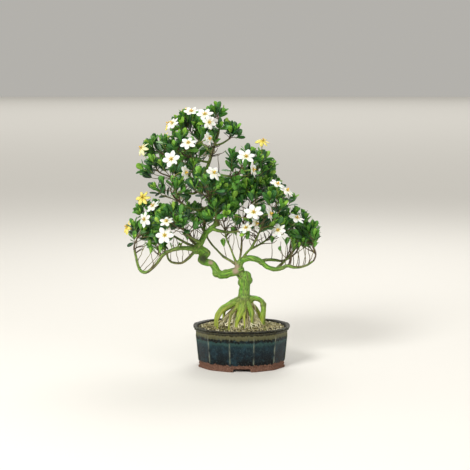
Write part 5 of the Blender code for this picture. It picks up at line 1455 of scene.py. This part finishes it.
def make_strands():
    """Thin roots on all sides of the base."""
    bm = bmesh.new()
    layer = bm.verts.layers.float.new("grain")
    for index in range(STRANDS):
        angle = detail.uniform(0, 2 * math.pi)
        start = spot(detail.uniform(*STRAND_ACROSS), detail.uniform(*STRAND_DOWN), 0)
        start += Vector((0, math.sin(angle) * detail.uniform(*STRAND_OUT) * MM, 0))
        far = math.sqrt(detail.uniform(0.02, 1.0))
        x = spot(240.5, 318, 0).x + math.cos(angle) * far * STRAND_SPREAD[0] * MM
        y = POT_Y + math.sin(angle) * far * STRAND_SPREAD[1] * MM - 3 * MM
        end = Vector((x, y, ground(x, y) - STRAND_DEEP * MM))
        flat = Vector((end.x - start.x, end.y - start.y, 0))
        leave = flat * detail.uniform(0.5, 1.3) + Vector((0, 0, -0.010))
        arrive = Vector((0, 0, -0.030)) + flat * 0.3
        path = curve_points(start, leave, end, arrive, STRAND_POINTS)
        for k in range(1, STRAND_POINTS):
            path[k] += shake(detail, 1, 1, 0.6) * 0.9 * MM
        size = detail.uniform(*THIN_STRAND if index % THICK_EACH else THICK_STRAND) * MM
        strand(bm, layer, path, size, 4 * MM, 5, detail.random())
    return finish_piece("fine_roots", bm, [root_skin()])


make_strands()

# %% Pale roots that cross in front
PALE_ROOTS = 230
# how far they spread, across and deep, and how high they start, in millimetres
PALE_SPREAD = (52, 44)
PALE_HIGH = 34
# shares of the spread where one starts, and that it covers
PALE_START = (0.1, 0.6)
PALE_COVER = (0.2, 0.5)
# turn at each point in radians, height over the soil, depth of the end and radius in millimetres
PALE_TURN = 0.22
PALE_RAISED = (1.0, 6.0)
PALE_DEEP = 6
PALE_RADIUS = (0.45, 1.15)
# they lie at the pale end of the colours
PALE_TONE = (0.8, 1.35)


def make_pale_roots():
    """Short bleached roots that wander over each other between the thick ones."""
    bm = bmesh.new()
    layer = bm.verts.layers.float.new("grain")
    for index in range(PALE_ROOTS):
        angle = detail.uniform(-math.pi, 0) if index % 3 else detail.uniform(0, math.pi)
        near = detail.uniform(*PALE_START)
        far = near + detail.uniform(*PALE_COVER)
        path = []
        for t in (0.0, 0.25, 0.5, 0.75, 1.0):
            out = near + (far - near) * t
            bearing = angle + detail.uniform(-PALE_TURN, PALE_TURN)
            x = ROOT_MIDDLE.x + math.cos(bearing) * out * PALE_SPREAD[0] * MM
            y = POT_Y + math.sin(bearing) * out * PALE_SPREAD[1] * MM
            high = (1 - out) * PALE_HIGH * (1 - t) + detail.uniform(*PALE_RAISED)
            path.append(Vector((x, y, ground(x, y) + high * MM)))
        path[-1].z -= PALE_DEEP * MM
        size = detail.uniform(*PALE_RADIUS) * MM
        strand(bm, layer, path, size, 3 * MM, 5, detail.uniform(*PALE_TONE))
    return finish_piece("pale_roots", bm, [bpy.data.materials["dry_root_skin"]])


make_pale_roots()

# %% [markdown]
# ## Leaves
# A gardenia leaf is thick, glossy and widest past its middle, with a sunk midrib and arched side
# veins. One blade is built from a grid whose rows are narrowed to the outline, folded a little
# along the midrib and curved; a second sheet closes it from below. Five such blades of 56 faces
# each are copied about 3,300 times. Leaves stand in whorls: small and upright at the tip of a
# shoot, large and spread further down.

# %% Leaf and twig materials
def leaf_skin():
    """Waxy leaf, yellow-green when young and deep green when old, with veins."""
    material, add = new_material("waxy_gardenia_leaf", Specular_IOR_Level=0.45)
    age = add("Attribute", attribute_name="age").outputs["Fac"]
    tint = add("Attribute", attribute_name="tint").outputs["Fac"]
    mixed = add("Math", {0: tint, 1: 0.48}, operation="MULTIPLY")
    older = add("Math", {0: age, 1: mixed}, operation="ADD")
    tone = add("ValToRGB", {0: older}, stops=[
        (0.0, "b0d052"), (0.18, "88bc3c"), (0.42, "57982f"), (0.68, "286a2a"), (1.0, "12402a")])
    where = add("UVMap", uv_map="blade")
    split = add("SeparateXYZ", {0: where})
    side = add("Math", {0: split.outputs["X"], 1: 0.5}, operation="SUBTRACT")
    away = add("Math", {0: side}, operation="ABSOLUTE")
    rib = add("MapRange", {0: away, 1: 0.0, 2: 0.045, 3: 1.0, 4: 0.0})
    # about nine arched side veins on each half
    arch = add("Math", {0: away, 1: 0.42}, operation="MULTIPLY")
    shift = add("Math", {0: split.outputs["Y"], 1: arch}, operation="SUBTRACT")
    turns = add("Math", {0: shift, 1: 56.0}, operation="MULTIPLY")
    wave = add("Math", {0: turns}, operation="SINE")
    veins = add("MapRange", {0: wave, 1: 0.72, 2: 1.0, 3: 0.0, 4: 0.5})
    lines = add("Math", {0: rib, 1: veins}, operation="MAXIMUM")
    paleness = add("Math", {0: lines, 1: 0.5}, operation="MULTIPLY")
    veined = add("Mix", {"Factor": paleness, "A": tone, "B": "a8c060"}, data_type="RGBA")
    rough = add("MapRange", {0: age, 1: 0.0, 2: 1.0, 3: 0.46, 4: 0.30})
    bump = add("Bump", {"Height": lines, "Distance": 0.0004, "Strength": 0.6})
    bump.invert = True
    return dress(material, Base_Color=veined, Roughness=rough, Normal=bump)


def twig_skin():
    """Green young twigs that turn grey-brown lower down."""
    material, add = new_material("young_gardenia_twig", Roughness=0.7)
    age = add("Attribute", attribute_name="age").outputs["Fac"]
    place = add("TexCoord").outputs["Object"]
    spots = add("TexNoise", {"Vector": place, "Scale": 500.0, "Detail": 3.0})
    mixed = add("Mix", {"Factor": 0.35, "A": age, "B": spots})
    tone = add("ValToRGB", {0: mixed}, stops=[
        (0.15, "85963f"), (0.36, "7c743f"), (0.58, "63543a"), (0.85, "453a2c")])
    bump = add("Bump", {"Height": spots, "Distance": 0.0003})
    return dress(material, Base_Color=tone, Normal=bump)


leaf = leaf_skin()
twig = twig_skin()
print("materials", leaf.name, twig.name)

# %% One blade
# share of the length and of the width
LEAF_ROWS = [(0, 0.07), (0.10, 0.17), (0.28, 0.55), (0.48, 0.88), (0.66, 1.0), (0.82, 0.91),
             (0.94, 0.56), (1.0, 0)]
# width over length, fold, bend along the length
LEAF_SHAPES = [(0.47, 0.10, 0.06), (0.43, 0.16, 0.14), (0.51, 0.08, 0.20), (0.46, 0.20, -0.06),
               (0.39, 0.14, 0.26)]
PETAL_ROWS = [(0, 0.40), (0.12, 0.54), (0.28, 0.78), (0.42, 0.94), (0.55, 1.0), (0.67, 0.96),
              (0.79, 0.80), (0.89, 0.56), (0.96, 0.32), (1.0, 0.08)]


def thin_blade(name, rows, columns, wide, fold, bend, thick, twist, uv_name):
    """A closed thin blade one unit long: it starts at the origin and grows along Y."""
    bm = bmesh.new()
    made = bmesh.ops.create_grid(bm, x_segments=columns, y_segments=len(rows) - 1, size=1)
    layer = bm.loops.layers.uv.new(uv_name)
    shares = {}
    for vert in made["verts"]:
        side = vert.co.x
        row = round((vert.co.y + 1) / 2 * (len(rows) - 1))
        far, half = rows[row]
        shares[vert] = ((side + 1) / 2, far)
        turn = twist * far
        x = side * half * wide / 2
        z = fold * abs(side) ** 1.4 * half * wide / 2
        height = z * math.cos(turn) + x * math.sin(turn) - bend * far * far
        vert.co = (x * math.cos(turn) - z * math.sin(turn), far, height)
    for face in bm.faces:
        for loop in face.loops:
            loop[layer].uv = shares[loop.vert]
    bm.normal_update()
    rim = [vert for vert in bm.verts if vert.is_boundary]
    under = bmesh.ops.duplicate(bm, geom=bm.faces[:])
    faces = [item for item in under["geom"] if isinstance(item, bmesh.types.BMFace)]
    lower = [item for item in under["geom"] if isinstance(item, bmesh.types.BMVert)]
    for vert in lower:
        if not vert.is_boundary:
            vert.co -= vert.normal * thick
    bmesh.ops.reverse_faces(bm, faces=faces)
    bmesh.ops.remove_doubles(bm, verts=rim + lower, dist=0.00001)
    for face in bm.faces:
        face.smooth = True
    return end_mesh(name, bm)


leaf_shapes = [thin_blade("leaf_shape", LEAF_ROWS, 4, wide, fold, bend, 0.016, 0.0, "blade")
               for wide, fold, bend in LEAF_SHAPES]
print("faces in a leaf", [len(shape.polygons) for shape in leaf_shapes])

# %% Where leaves may grow
# further shoots on a pad of the usual size, whose half sizes are in millimetres
EXTRA_SHOOTS = 6.5
USUAL_PAD = 34 * 32 * 30
# distance from the shoot's tip, leaves, shortest, longest, least and most lean, age
WHORLS = [(0.5, 2, 11, 15, 8, 16, 0.0), (4.5, 3, 17, 23, 16, 30, 0.14),
          (11.0, 3, 21, 27, 28, 46, 0.40), (19.0, 2, 20, 26, 44, 62, 0.72)]
# how much leaves turn up, and the share of them that has fallen
UPWARD = 0.40
MISSING = 0.10
# how much a leaf is twisted, in radians, and its width changed
LEAF_TWIST = 0.3
LEAF_WIDE = (0.9, 1.12)
# leaves grow on this share of a shoot, counted from its tip
LEAFY_SHARE = 0.86
# leaves keep out of this room behind and in front of an open flower, in metres
FREE_BACK = 0.006
FREE_FRONT = 0.020
LEAST_TWIG = 0.010
# how far a foot should lie below the end of its shoot
FOOT_BELOW = 0.012
LEAF_SEED = 912
grow = random.Random(LEAF_SEED)


def clear_of_flowers(point):
    """False in front of an open flower, or in it."""
    for plan in blooms.values():
        for middle, facing, wide, cup, turn in plan["heads"]:
            away = point - middle
            high = away.dot(facing)
            flat = (away - facing * high).length
            if -FREE_BACK < high < FREE_FRONT and flat < wide / 2 + MM:
                return False
    return True


def place_leaf(bm, ages, base, way, out, lean, long, age):
    """Copies a blade to a node of the shoot, leaning out from it."""
    bearing = way * math.cos(lean) + out * math.sin(lean) + Vector((0, 0, UPWARD))
    bearing.normalize()
    upper = way * math.sin(lean) - out * math.cos(lean) + Vector((0, 0, 0.10))
    upper = (upper - bearing * upper.dot(bearing)).normalized()
    side = bearing.cross(upper)
    if not all(clear_of_flowers(base + bearing * long * share) for share in (0.5, 1.0)):
        return
    turn = Matrix((side, bearing, upper)).transposed()
    turn = turn @ Matrix.Rotation(grow.uniform(-LEAF_TWIST, LEAF_TWIST), 3, "Y")
    wide = long * grow.uniform(*LEAF_WIDE)
    scale = Matrix.Diagonal((wide, long, long))
    matrix = Matrix.Translation(base) @ (turn @ scale).to_4x4()
    shape = grow.choice(leaf_shapes)
    lay_copy(bm, shape, matrix)
    tint = grow.random()
    ages.extend([(age, tint)] * len(shape.vertices))


def leaf_out(bm, ages, path, far_end, whorls):
    """Whorls of leaves along a shoot, counted from its tip."""
    long = sum((there - here).length for here, there in zip(path, path[1:]))
    phase = grow.uniform(0, 2 * math.pi)
    for index, (far, count, short, tall, least, most, age) in enumerate(WHORLS[:whorls]):
        far = far * grow.uniform(0.9, 1.1) + far_end
        if far * MM > long * LEAFY_SHARE:
            break
        base, way = on_path(path, 1 - far * MM / long)
        side = way.orthogonal().normalized()
        for k in range(count):
            angle = phase + 2 * math.pi * k / count + grow.uniform(-0.25, 0.25)
            out = Matrix.Rotation(angle, 3, way) @ side
            if grow.random() < MISSING:
                continue
            place_leaf(bm, ages, base, way, out, math.radians(grow.uniform(least, most)),
                       grow.uniform(short, tall) * MM, min(1.0, age + grow.uniform(-0.08, 0.12)))
        phase += math.pi / count


def shoot_to(rods, end, sideways):
    """A shoot that ends at a place and rises from the rod that lies best below it."""
    feet = [on_path(rod, t) for rod, reaches in rods for t in reaches]

    def cost(foot):
        away = end - foot[0]
        flat = math.hypot(away.x, away.y)
        return away.length + flat * sideways + max(0.0, foot[0].z - end.z + FOOT_BELOW) * 2.0

    point, way = min(feet, key=cost)
    long = (end - point).length
    if long < LEAST_TWIG:
        return None
    path = rising_curve(point, way, end, 1.0, 4)
    for k in (1, 2, 3):
        path[k] += shake(grow, 1, 1).to_3d() * long * 0.03
    return path


def spread_out(middle, half, count, least, most):
    """Places spread evenly over an ellipsoid by the golden angle, at random shares of its size."""
    first = grow.uniform(0, 2 * math.pi)
    places = []
    for index in range(count):
        angle = first + index * GOLDEN_ANGLE
        rise = 0.95 - 1.5 * (index + 0.5) / count
        places.append(middle + pad_reach(half, angle, rise) * (grow.uniform(least, most) * MM))
    return places


def more_shoots(spray):
    """Further shoots over the pad: half from its own stems, half straight from the branch."""
    own = [(rod, (0.35, 0.5, 0.65, 0.8, 0.95)) for rod in [spray["stem"]] + spray["shoots"]]
    branch = [(wood[spray["name"]][0], [0.50 + 0.04 * k for k in range(12)])]
    share = math.prod(spray["half"]) / USUAL_PAD
    places = spread_out(spray["middle"], spray["half"], round(EXTRA_SHOOTS * share), 0.5, 0.95)
    made = [shoot_to(branch, end, 1.0) if index % 2 else shoot_to(own, end, 0.0)
            for index, end in enumerate(places)]
    return [path for path in made if path]


print("leaf rules ready")

# %% Grow every spray
def leafy_piece(name, rods, leafy, nodes=()):
    """Stems, with whorls of leaves on the leafy ones, as one piece; gives the number of leaves.

    A rod is its path, radii, sides and age at its start and end; a leafy path comes with the
    length of its bare end and the number of its whorls."""
    bm = bmesh.new()
    layer = bm.verts.layers.float.new("age")
    for path, radii, sides, first, last in rods:
        points, sizes = smooth_path(path, radii, 4.5 * MM)
        tube(bm, points, sizes, sides, [first + (last - first) * k / len(points)
                                        for k in range(len(points))], layer)
    for face in bm.faces:
        face.material_index = 1
    stems = end_mesh("stems", bm)
    # a fresh bmesh, so that the copies of the blade are added strictly after the stems
    bm = bmesh.new()
    bm.from_mesh(stems)
    bpy.data.meshes.remove(stems)
    bm.loops.layers.uv.new("blade")
    wood_count = len(bm.verts)
    ages = []
    for path, bare, whorls in leafy:
        leaf_out(bm, ages, path, bare, whorls)
    made = finish_piece(name, bm, [leaf, twig], nodes)
    values = np.zeros(len(made.data.vertices), np.float32)
    made.data.attributes["age"].data.foreach_get("value", values)
    values[wood_count:] = [age for age, tint in ages]
    made.data.attributes["age"].data.foreach_set("value", values)
    set_values(made, "tint", [0.5] * wood_count + [tint for age, tint in ages])
    return len(ages) // len(leaf_shapes[0].vertices)


def shoot_rod(path, thick):
    """A shoot as a rod that tapers to its green tip."""
    radii = [SHOOT_RADIUS * MM * thick * (1 - 0.32 * k / (len(path) - 1)) for k in range(len(path))]
    return (path, radii, 5, 0.75, 0.1)


def make_spray(index, spray):
    """A spray's stem, stalks, shoots and leaves."""
    rods = [(spray["stem"], spray["widths"], 8, 0.95, 0.5)]
    for path, name in spray["stalks"]:
        rods.append((path, [SHOOT_RADIUS * MM * 0.9] * len(path), 6, 0.5, 0.05))
    shoots = spray["shoots"] + more_shoots(spray)
    rods += [shoot_rod(path, 0.95) for path in shoots]
    leafy = [(path, 0.0, 4) for path in shoots]
    leafy += [(path, 9.0, 3) for path, name in spray["stalks"]]
    return leafy_piece("leaves_%02d" % (index + 1), rods, leafy, ["spray_%02d" % (index + 1)])


total = sum(make_spray(index, spray) for index, spray in enumerate(sprays))
print("leaves", total)

# %% [markdown]
# ## Inner shoots
# Inside the crown the old branches carry short shoots of their own. They fill the places between
# the pads with darker leaves and many bare stems, and give the crown its depth.

# %% Shoots inside the crown
# middle in pixels and depth, half sizes in millimetres, shoots
INNER = [
    ((222, 202, -12), (62, 66, 66), 30), ((186, 170, 2), (52, 60, 48), 18),
    ((247, 192, 6), (52, 62, 56), 24), ((180, 216, -16), (54, 60, 44), 18),
    ((208, 134, 2), (44, 40, 44), 10), ((272, 224, -12), (52, 56, 40), 16),
    ((150, 234, 4), (30, 44, 38), 10), ((303, 240, 10), (38, 44, 34), 16),
]


def crown_rods():
    """The branches and stems that a shoot inside the crown may leave, and where."""
    rods = [(path, [0.06 * k for k in range(3, 17)]) for name, (path, radii) in wood.items()
            if name not in ("trunk", "neck", "left_limb")]
    return rods + [(spray["stem"], (0.2, 0.5, 0.8)) for spray in sprays]


def make_inner():
    """Shoots from the old wood and the stems to places inside the crown."""
    rods = crown_rods()
    count = 0
    for index, (middle, half, shoots) in enumerate(INNER):
        places = spread_out(spot(*middle), half, shoots, 0.25, 1.0)
        paths = [shoot_to(rods, end, 0.6) for end in places]
        paths = [path for path in paths if path]
        count += leafy_piece("inner_shoots_%02d" % (index + 1),
                             [shoot_rod(path, 1.0) for path in paths],
                             [(path, 0.0, 3) for path in paths])
    return count


print("inner leaves", make_inner())

# %% [markdown]
# ## Single twigs
# A few twigs show one by one against the light below the crown, so each is listed with its own points.

# %% Twigs listed one by one
# points in pixels and depth, then how many whorls of leaves the end has
TWIGS = [
    ([(285.2, 264, -14), (285.6, 254, -18), (286.7, 243, -22)], 2),
    ([(285.5, 257, -17), (282.6, 255, -19), (280.4, 251, -20)], 1),
    ([(271.4, 258, 6), (272.4, 250, 2), (272.3, 241, -2)], 2),
    ([(171, 261, 18), (169.6, 256, 14), (171.5, 248, 10)], 1),
    ([(178.5, 261.5, 12), (176.4, 256, 8), (176.8, 249, 2)], 1),
    ([(182.5, 260.5, 10), (184, 254, 4), (181.5, 247, -2)], 1),
    ([(190, 255.5, 4), (187, 248, -4), (187.5, 238, -10)], 2),
    ([(139.5, 268, -19), (145, 261, -22), (151, 252, -26)], 2),
    ([(142, 271, -20), (150, 265, -14), (158.5, 254, -10)], 2),
    ([(148, 270.6, -22), (155.5, 263.5, -28), (160.5, 251, -34)], 2),
    ([(137.5, 262, -17), (141, 254, -24), (144.5, 246, -28)], 1),
    ([(153.5, 266.5, -22), (153, 258, -16), (149.5, 248, -8)], 2),
    ([(160.5, 257.5, -19), (157.5, 250, -24), (156, 242, -28)], 2),
    ([(251.5, 247.2, -18), (250.4, 242, -24), (248.2, 237.5, -28)], 1),
    ([(226, 258, 11), (226.4, 252, 8), (223.6, 245, 6)], 2),
    ([(240.9, 252, 7), (237.4, 244, 2), (236.2, 234, -4)], 2),
    ([(241.7, 243, 13), (246.4, 235, 16), (249.6, 224, 18)], 2),
    ([(232, 251, -6), (234.6, 243, -12), (233.6, 232, -18)], 2),
    ([(255.4, 240.5, -22), (253.4, 232, -26), (254.8, 222, -30)], 2),
    ([(296, 266.8, -13), (298.6, 257, -16), (299.2, 247, -18)], 2),
    ([(302.5, 266.2, -12), (306, 256, -6), (305.6, 246, -2)], 2),
    ([(308.5, 264, -10), (313.4, 254, -12), (314.5, 246, -14)], 2),
    ([(290.4, 266, -14), (291, 258, -20), (293.4, 248, -24)], 2),
]


def make_twigs():
    """The single twigs with small leaves at their ends."""
    paths = []
    for points, whorls in TWIGS:
        here, bend, there = [spot(*point) for point in points]
        path = curve_points(here, (bend - here) * 1.8, there, (there - bend) * 1.8, 6)
        for k in range(1, 6):
            path[k] += shake(grow, 1, 1).to_3d() * 0.9 * MM
        paths.append(path)
    leafy = [(path, 0.0, whorls) for path, (points, whorls) in zip(paths, TWIGS)]
    return leafy_piece("single_twigs", [shoot_rod(path, 0.9) for path in paths], leafy)


print("leaves on single twigs", make_twigs())

# %% [markdown]
# ## Bare twigs
# Where light no longer reaches, the shoots have lost their leaves. They stay as a brown tangle
# under and between the pads, which lets the crown be seen through.

# %% Leafless twigs under and between the pads
# middle in pixels and depth, half sizes in millimetres, twigs
BARE = [
    ((187, 230, -8), (34, 40, 40), 32), ((241, 226, -10), (48, 44, 60), 60),
    ((300, 242, -8), (42, 30, 14), 22), ((196, 188, -24), (40, 30, 36), 24),
    ((215, 148, -12), (30, 24, 40), 16), ((150, 246, -12), (36, 30, 18), 14),
    ((268, 237, -2), (34, 34, 18), 12),
]


def make_bare_twigs():
    """Twigs without leaves, kept out of the flowers' faces."""
    rods = crown_rods()
    twigs = []
    for middle, half, count in BARE:
        for end in spread_out(spot(*middle), half, count, 0.2, 1.0):
            path = shoot_to(rods, end, 0.2)
            if path and all(clear_of_flowers(point) for point in path):
                radii = [(1.15 - 0.14 * k) * MM for k in range(len(path))]
                twigs.append((path, radii, 5, 0.95, 0.6))
    leafy_piece("bare_twigs", twigs, [])
    return len(twigs)


print("bare twigs", make_bare_twigs())

# %% [markdown]
# ## Flowers
# The single gardenia flower is a long thin tube that opens into six thick rounded petals, with a
# fat yellow style in its throat and an ochre anther between each two petals. It opens pure white
# and turns cream, then yellow, as it ages, when its petals also hang back. Each petal is the same
# kind of closed blade as a leaf, with other rows, and the flower takes its place, size and look
# from the grown tree.

# %% Flower materials
def petal_skin(name, stops):
    """Thick waxy petals, warmer towards the throat."""
    material, add = new_material(name, Roughness=0.5, Subsurface_Weight=0.12, Subsurface_Scale=0.002)
    where = add("UVMap", uv_map="petal")
    split = add("SeparateXYZ", {0: where})
    tone = add("ValToRGB", {0: split.outputs["Y"]}, stops=stops)
    side = add("Math", {0: split.outputs["X"], 1: 110.0}, operation="MULTIPLY")
    wave = add("Math", {0: side}, operation="SINE")
    bump = add("Bump", {"Height": wave, "Distance": 0.0002, "Strength": 0.25})
    return dress(material, Base_Color=tone, Normal=bump)


white_petal = petal_skin("white_gardenia_petal", [
    (0.0, "d8c75a"), (0.10, "e6dd96"), (0.22, "ecebdc"), (1.0, "ececea")])
cream_petal = petal_skin("aged_cream_gardenia_petal", [
    (0.0, "c2a42e"), (0.20, "dfca4e"), (0.60, "eee07a"), (1.0, "e2d25e")])
pale_petal = petal_skin("fading_gardenia_petal", [
    (0.0, "d2c260"), (0.20, "e6dfa0"), (0.60, "eeeabc"), (1.0, "e6e0a4")])
pollen = new_material("ochre_anther", Roughness=0.8, Base_Color="c8ab4a")[0]
style_skin = new_material("yellow_style", Roughness=0.55, Base_Color="dcae2e")[0]
calyx_skin = new_material("green_calyx", Roughness=0.55, Base_Color="6f8f35")[0]
print("petal materials ready")

# %% Build the flowers
PETALS = 6
# how far petals bend back over their length, fresh and aged
PETAL_BENDS = [0.02, 0.10, 0.18]
OLD_BENDS = [0.20, 0.34, 0.46]
# sizes in millimetres
THROAT = 1.7
# half sizes of an anther and its lean in degrees, then heights and radii of the style
ANTHER = (0.6, 0.6, 2.4)
ANTHER_LEAN = 68
STYLE = [(-4, 0.7), (-1, 0.9), (1.5, 1.1), (3.2, 1.5), (4.6, 1.3), (5.2, 0.7)]
# turn and rise of a petal in radians, how much a fresh one rises more, and its size
PETAL_TURN = 0.06
PETAL_RISE = 0.10
FRESH_RISE = 0.12
PETAL_SIZE = (0.94, 1.03)
FADING = ("bloom_cream_03",)
open_petals = [thin_blade("petal_shape", PETAL_ROWS, 6, 0.66, -0.16, bend, 0.035, 0.16, "petal")
               for bend in PETAL_BENDS]
old_petals = [thin_blade("old_petal_shape", PETAL_ROWS, 6, 0.56, -0.45, bend, 0.035, 0.5, "petal")
              for bend in OLD_BENDS]


def head_frame(head):
    """The matrix of a flower: its middle, with Z the way it looks."""
    middle, facing, wide, cup, turn = head
    side = facing.orthogonal().normalized()
    look = Matrix((side, facing.cross(side), facing)).transposed().to_4x4()
    return Matrix.Translation(middle) @ look @ Matrix.Rotation(turn, 4, "Z")


def lay_petals(bm, head, aged):
    """The six petals of one open flower."""
    long = head[2] / 2 - THROAT * MM
    shape = grow.choice(old_petals if aged else open_petals)
    for k in range(PETALS):
        angle = 2 * math.pi * k / PETALS - math.pi / 2 + grow.uniform(-PETAL_TURN, PETAL_TURN)
        rise = math.atan2(head[3] * 0.8, long) + grow.uniform(-PETAL_RISE, PETAL_RISE)
        if not aged:
            rise += FRESH_RISE
        size = long * grow.uniform(*PETAL_SIZE)
        place = Matrix.Translation((0, THROAT * MM * 0.6, -0.8 * MM))
        matrix = head_frame(head) @ Matrix.Rotation(angle, 4, "Z") @ place
        matrix = matrix @ Matrix.Rotation(rise, 4, "X") @ Matrix.Diagonal((size, size, size, 1))
        lay_copy(bm, shape, matrix)


def add_throat(bm, head, way_in):
    """Anthers, style and the long tube of one open flower."""
    place = head_frame(head)
    for k in range(PETALS):
        angle = 2 * math.pi * (k + 0.5) / PETALS - math.pi / 2
        matrix = place @ Matrix.Rotation(angle, 4, "Z")
        matrix = matrix @ Matrix.Translation((0, THROAT * MM * 0.8, 0))
        matrix = matrix @ Matrix.Rotation(math.radians(-ANTHER_LEAN), 4, "X")
        matrix = matrix @ Matrix.Translation((0, 0, ANTHER[2] * MM))
        matrix = matrix @ Matrix.Diagonal((*[half * MM for half in ANTHER], 1))
        made = bmesh.ops.create_icosphere(bm, subdivisions=1, radius=1, matrix=matrix)
        paint(made["verts"], 1)
    path = [place @ Vector((0, 0, high * MM)) for high, radius in STYLE]
    tube(bm, path, [radius * MM for high, radius in STYLE], 8, material=2)
    points = way_in + [head[0] - head[1] * 0.8 * MM]
    sizes = [TUBE_RADIUS * MM * (0.72 + 0.28 * k / len(way_in)) for k in range(len(points))]
    points, sizes = smooth_path(points, sizes, 2.5 * MM)
    tube(bm, points, sizes, 10, material=3)


def make_flower(name, plan):
    """One flower, or two on a forked tube, as one piece."""
    aged = "cream" in name
    bm = bmesh.new()
    bm.loops.layers.uv.new("petal")
    for head in plan["heads"]:
        lay_petals(bm, head, aged)
    for head, way_in in zip(plan["heads"], plan["tubes"]):
        add_throat(bm, head, way_in)
    petal = pale_petal if name in FADING else cream_petal if aged else white_petal
    skins = [petal, pollen, style_skin, calyx_skin]
    return finish_piece(name.replace("bloom", "flower"), bm, skins, [name])


for name, plan in blooms.items():
    make_flower(name, plan)
print("flowers", sum(len(plan["heads"]) for plan in blooms.values()))
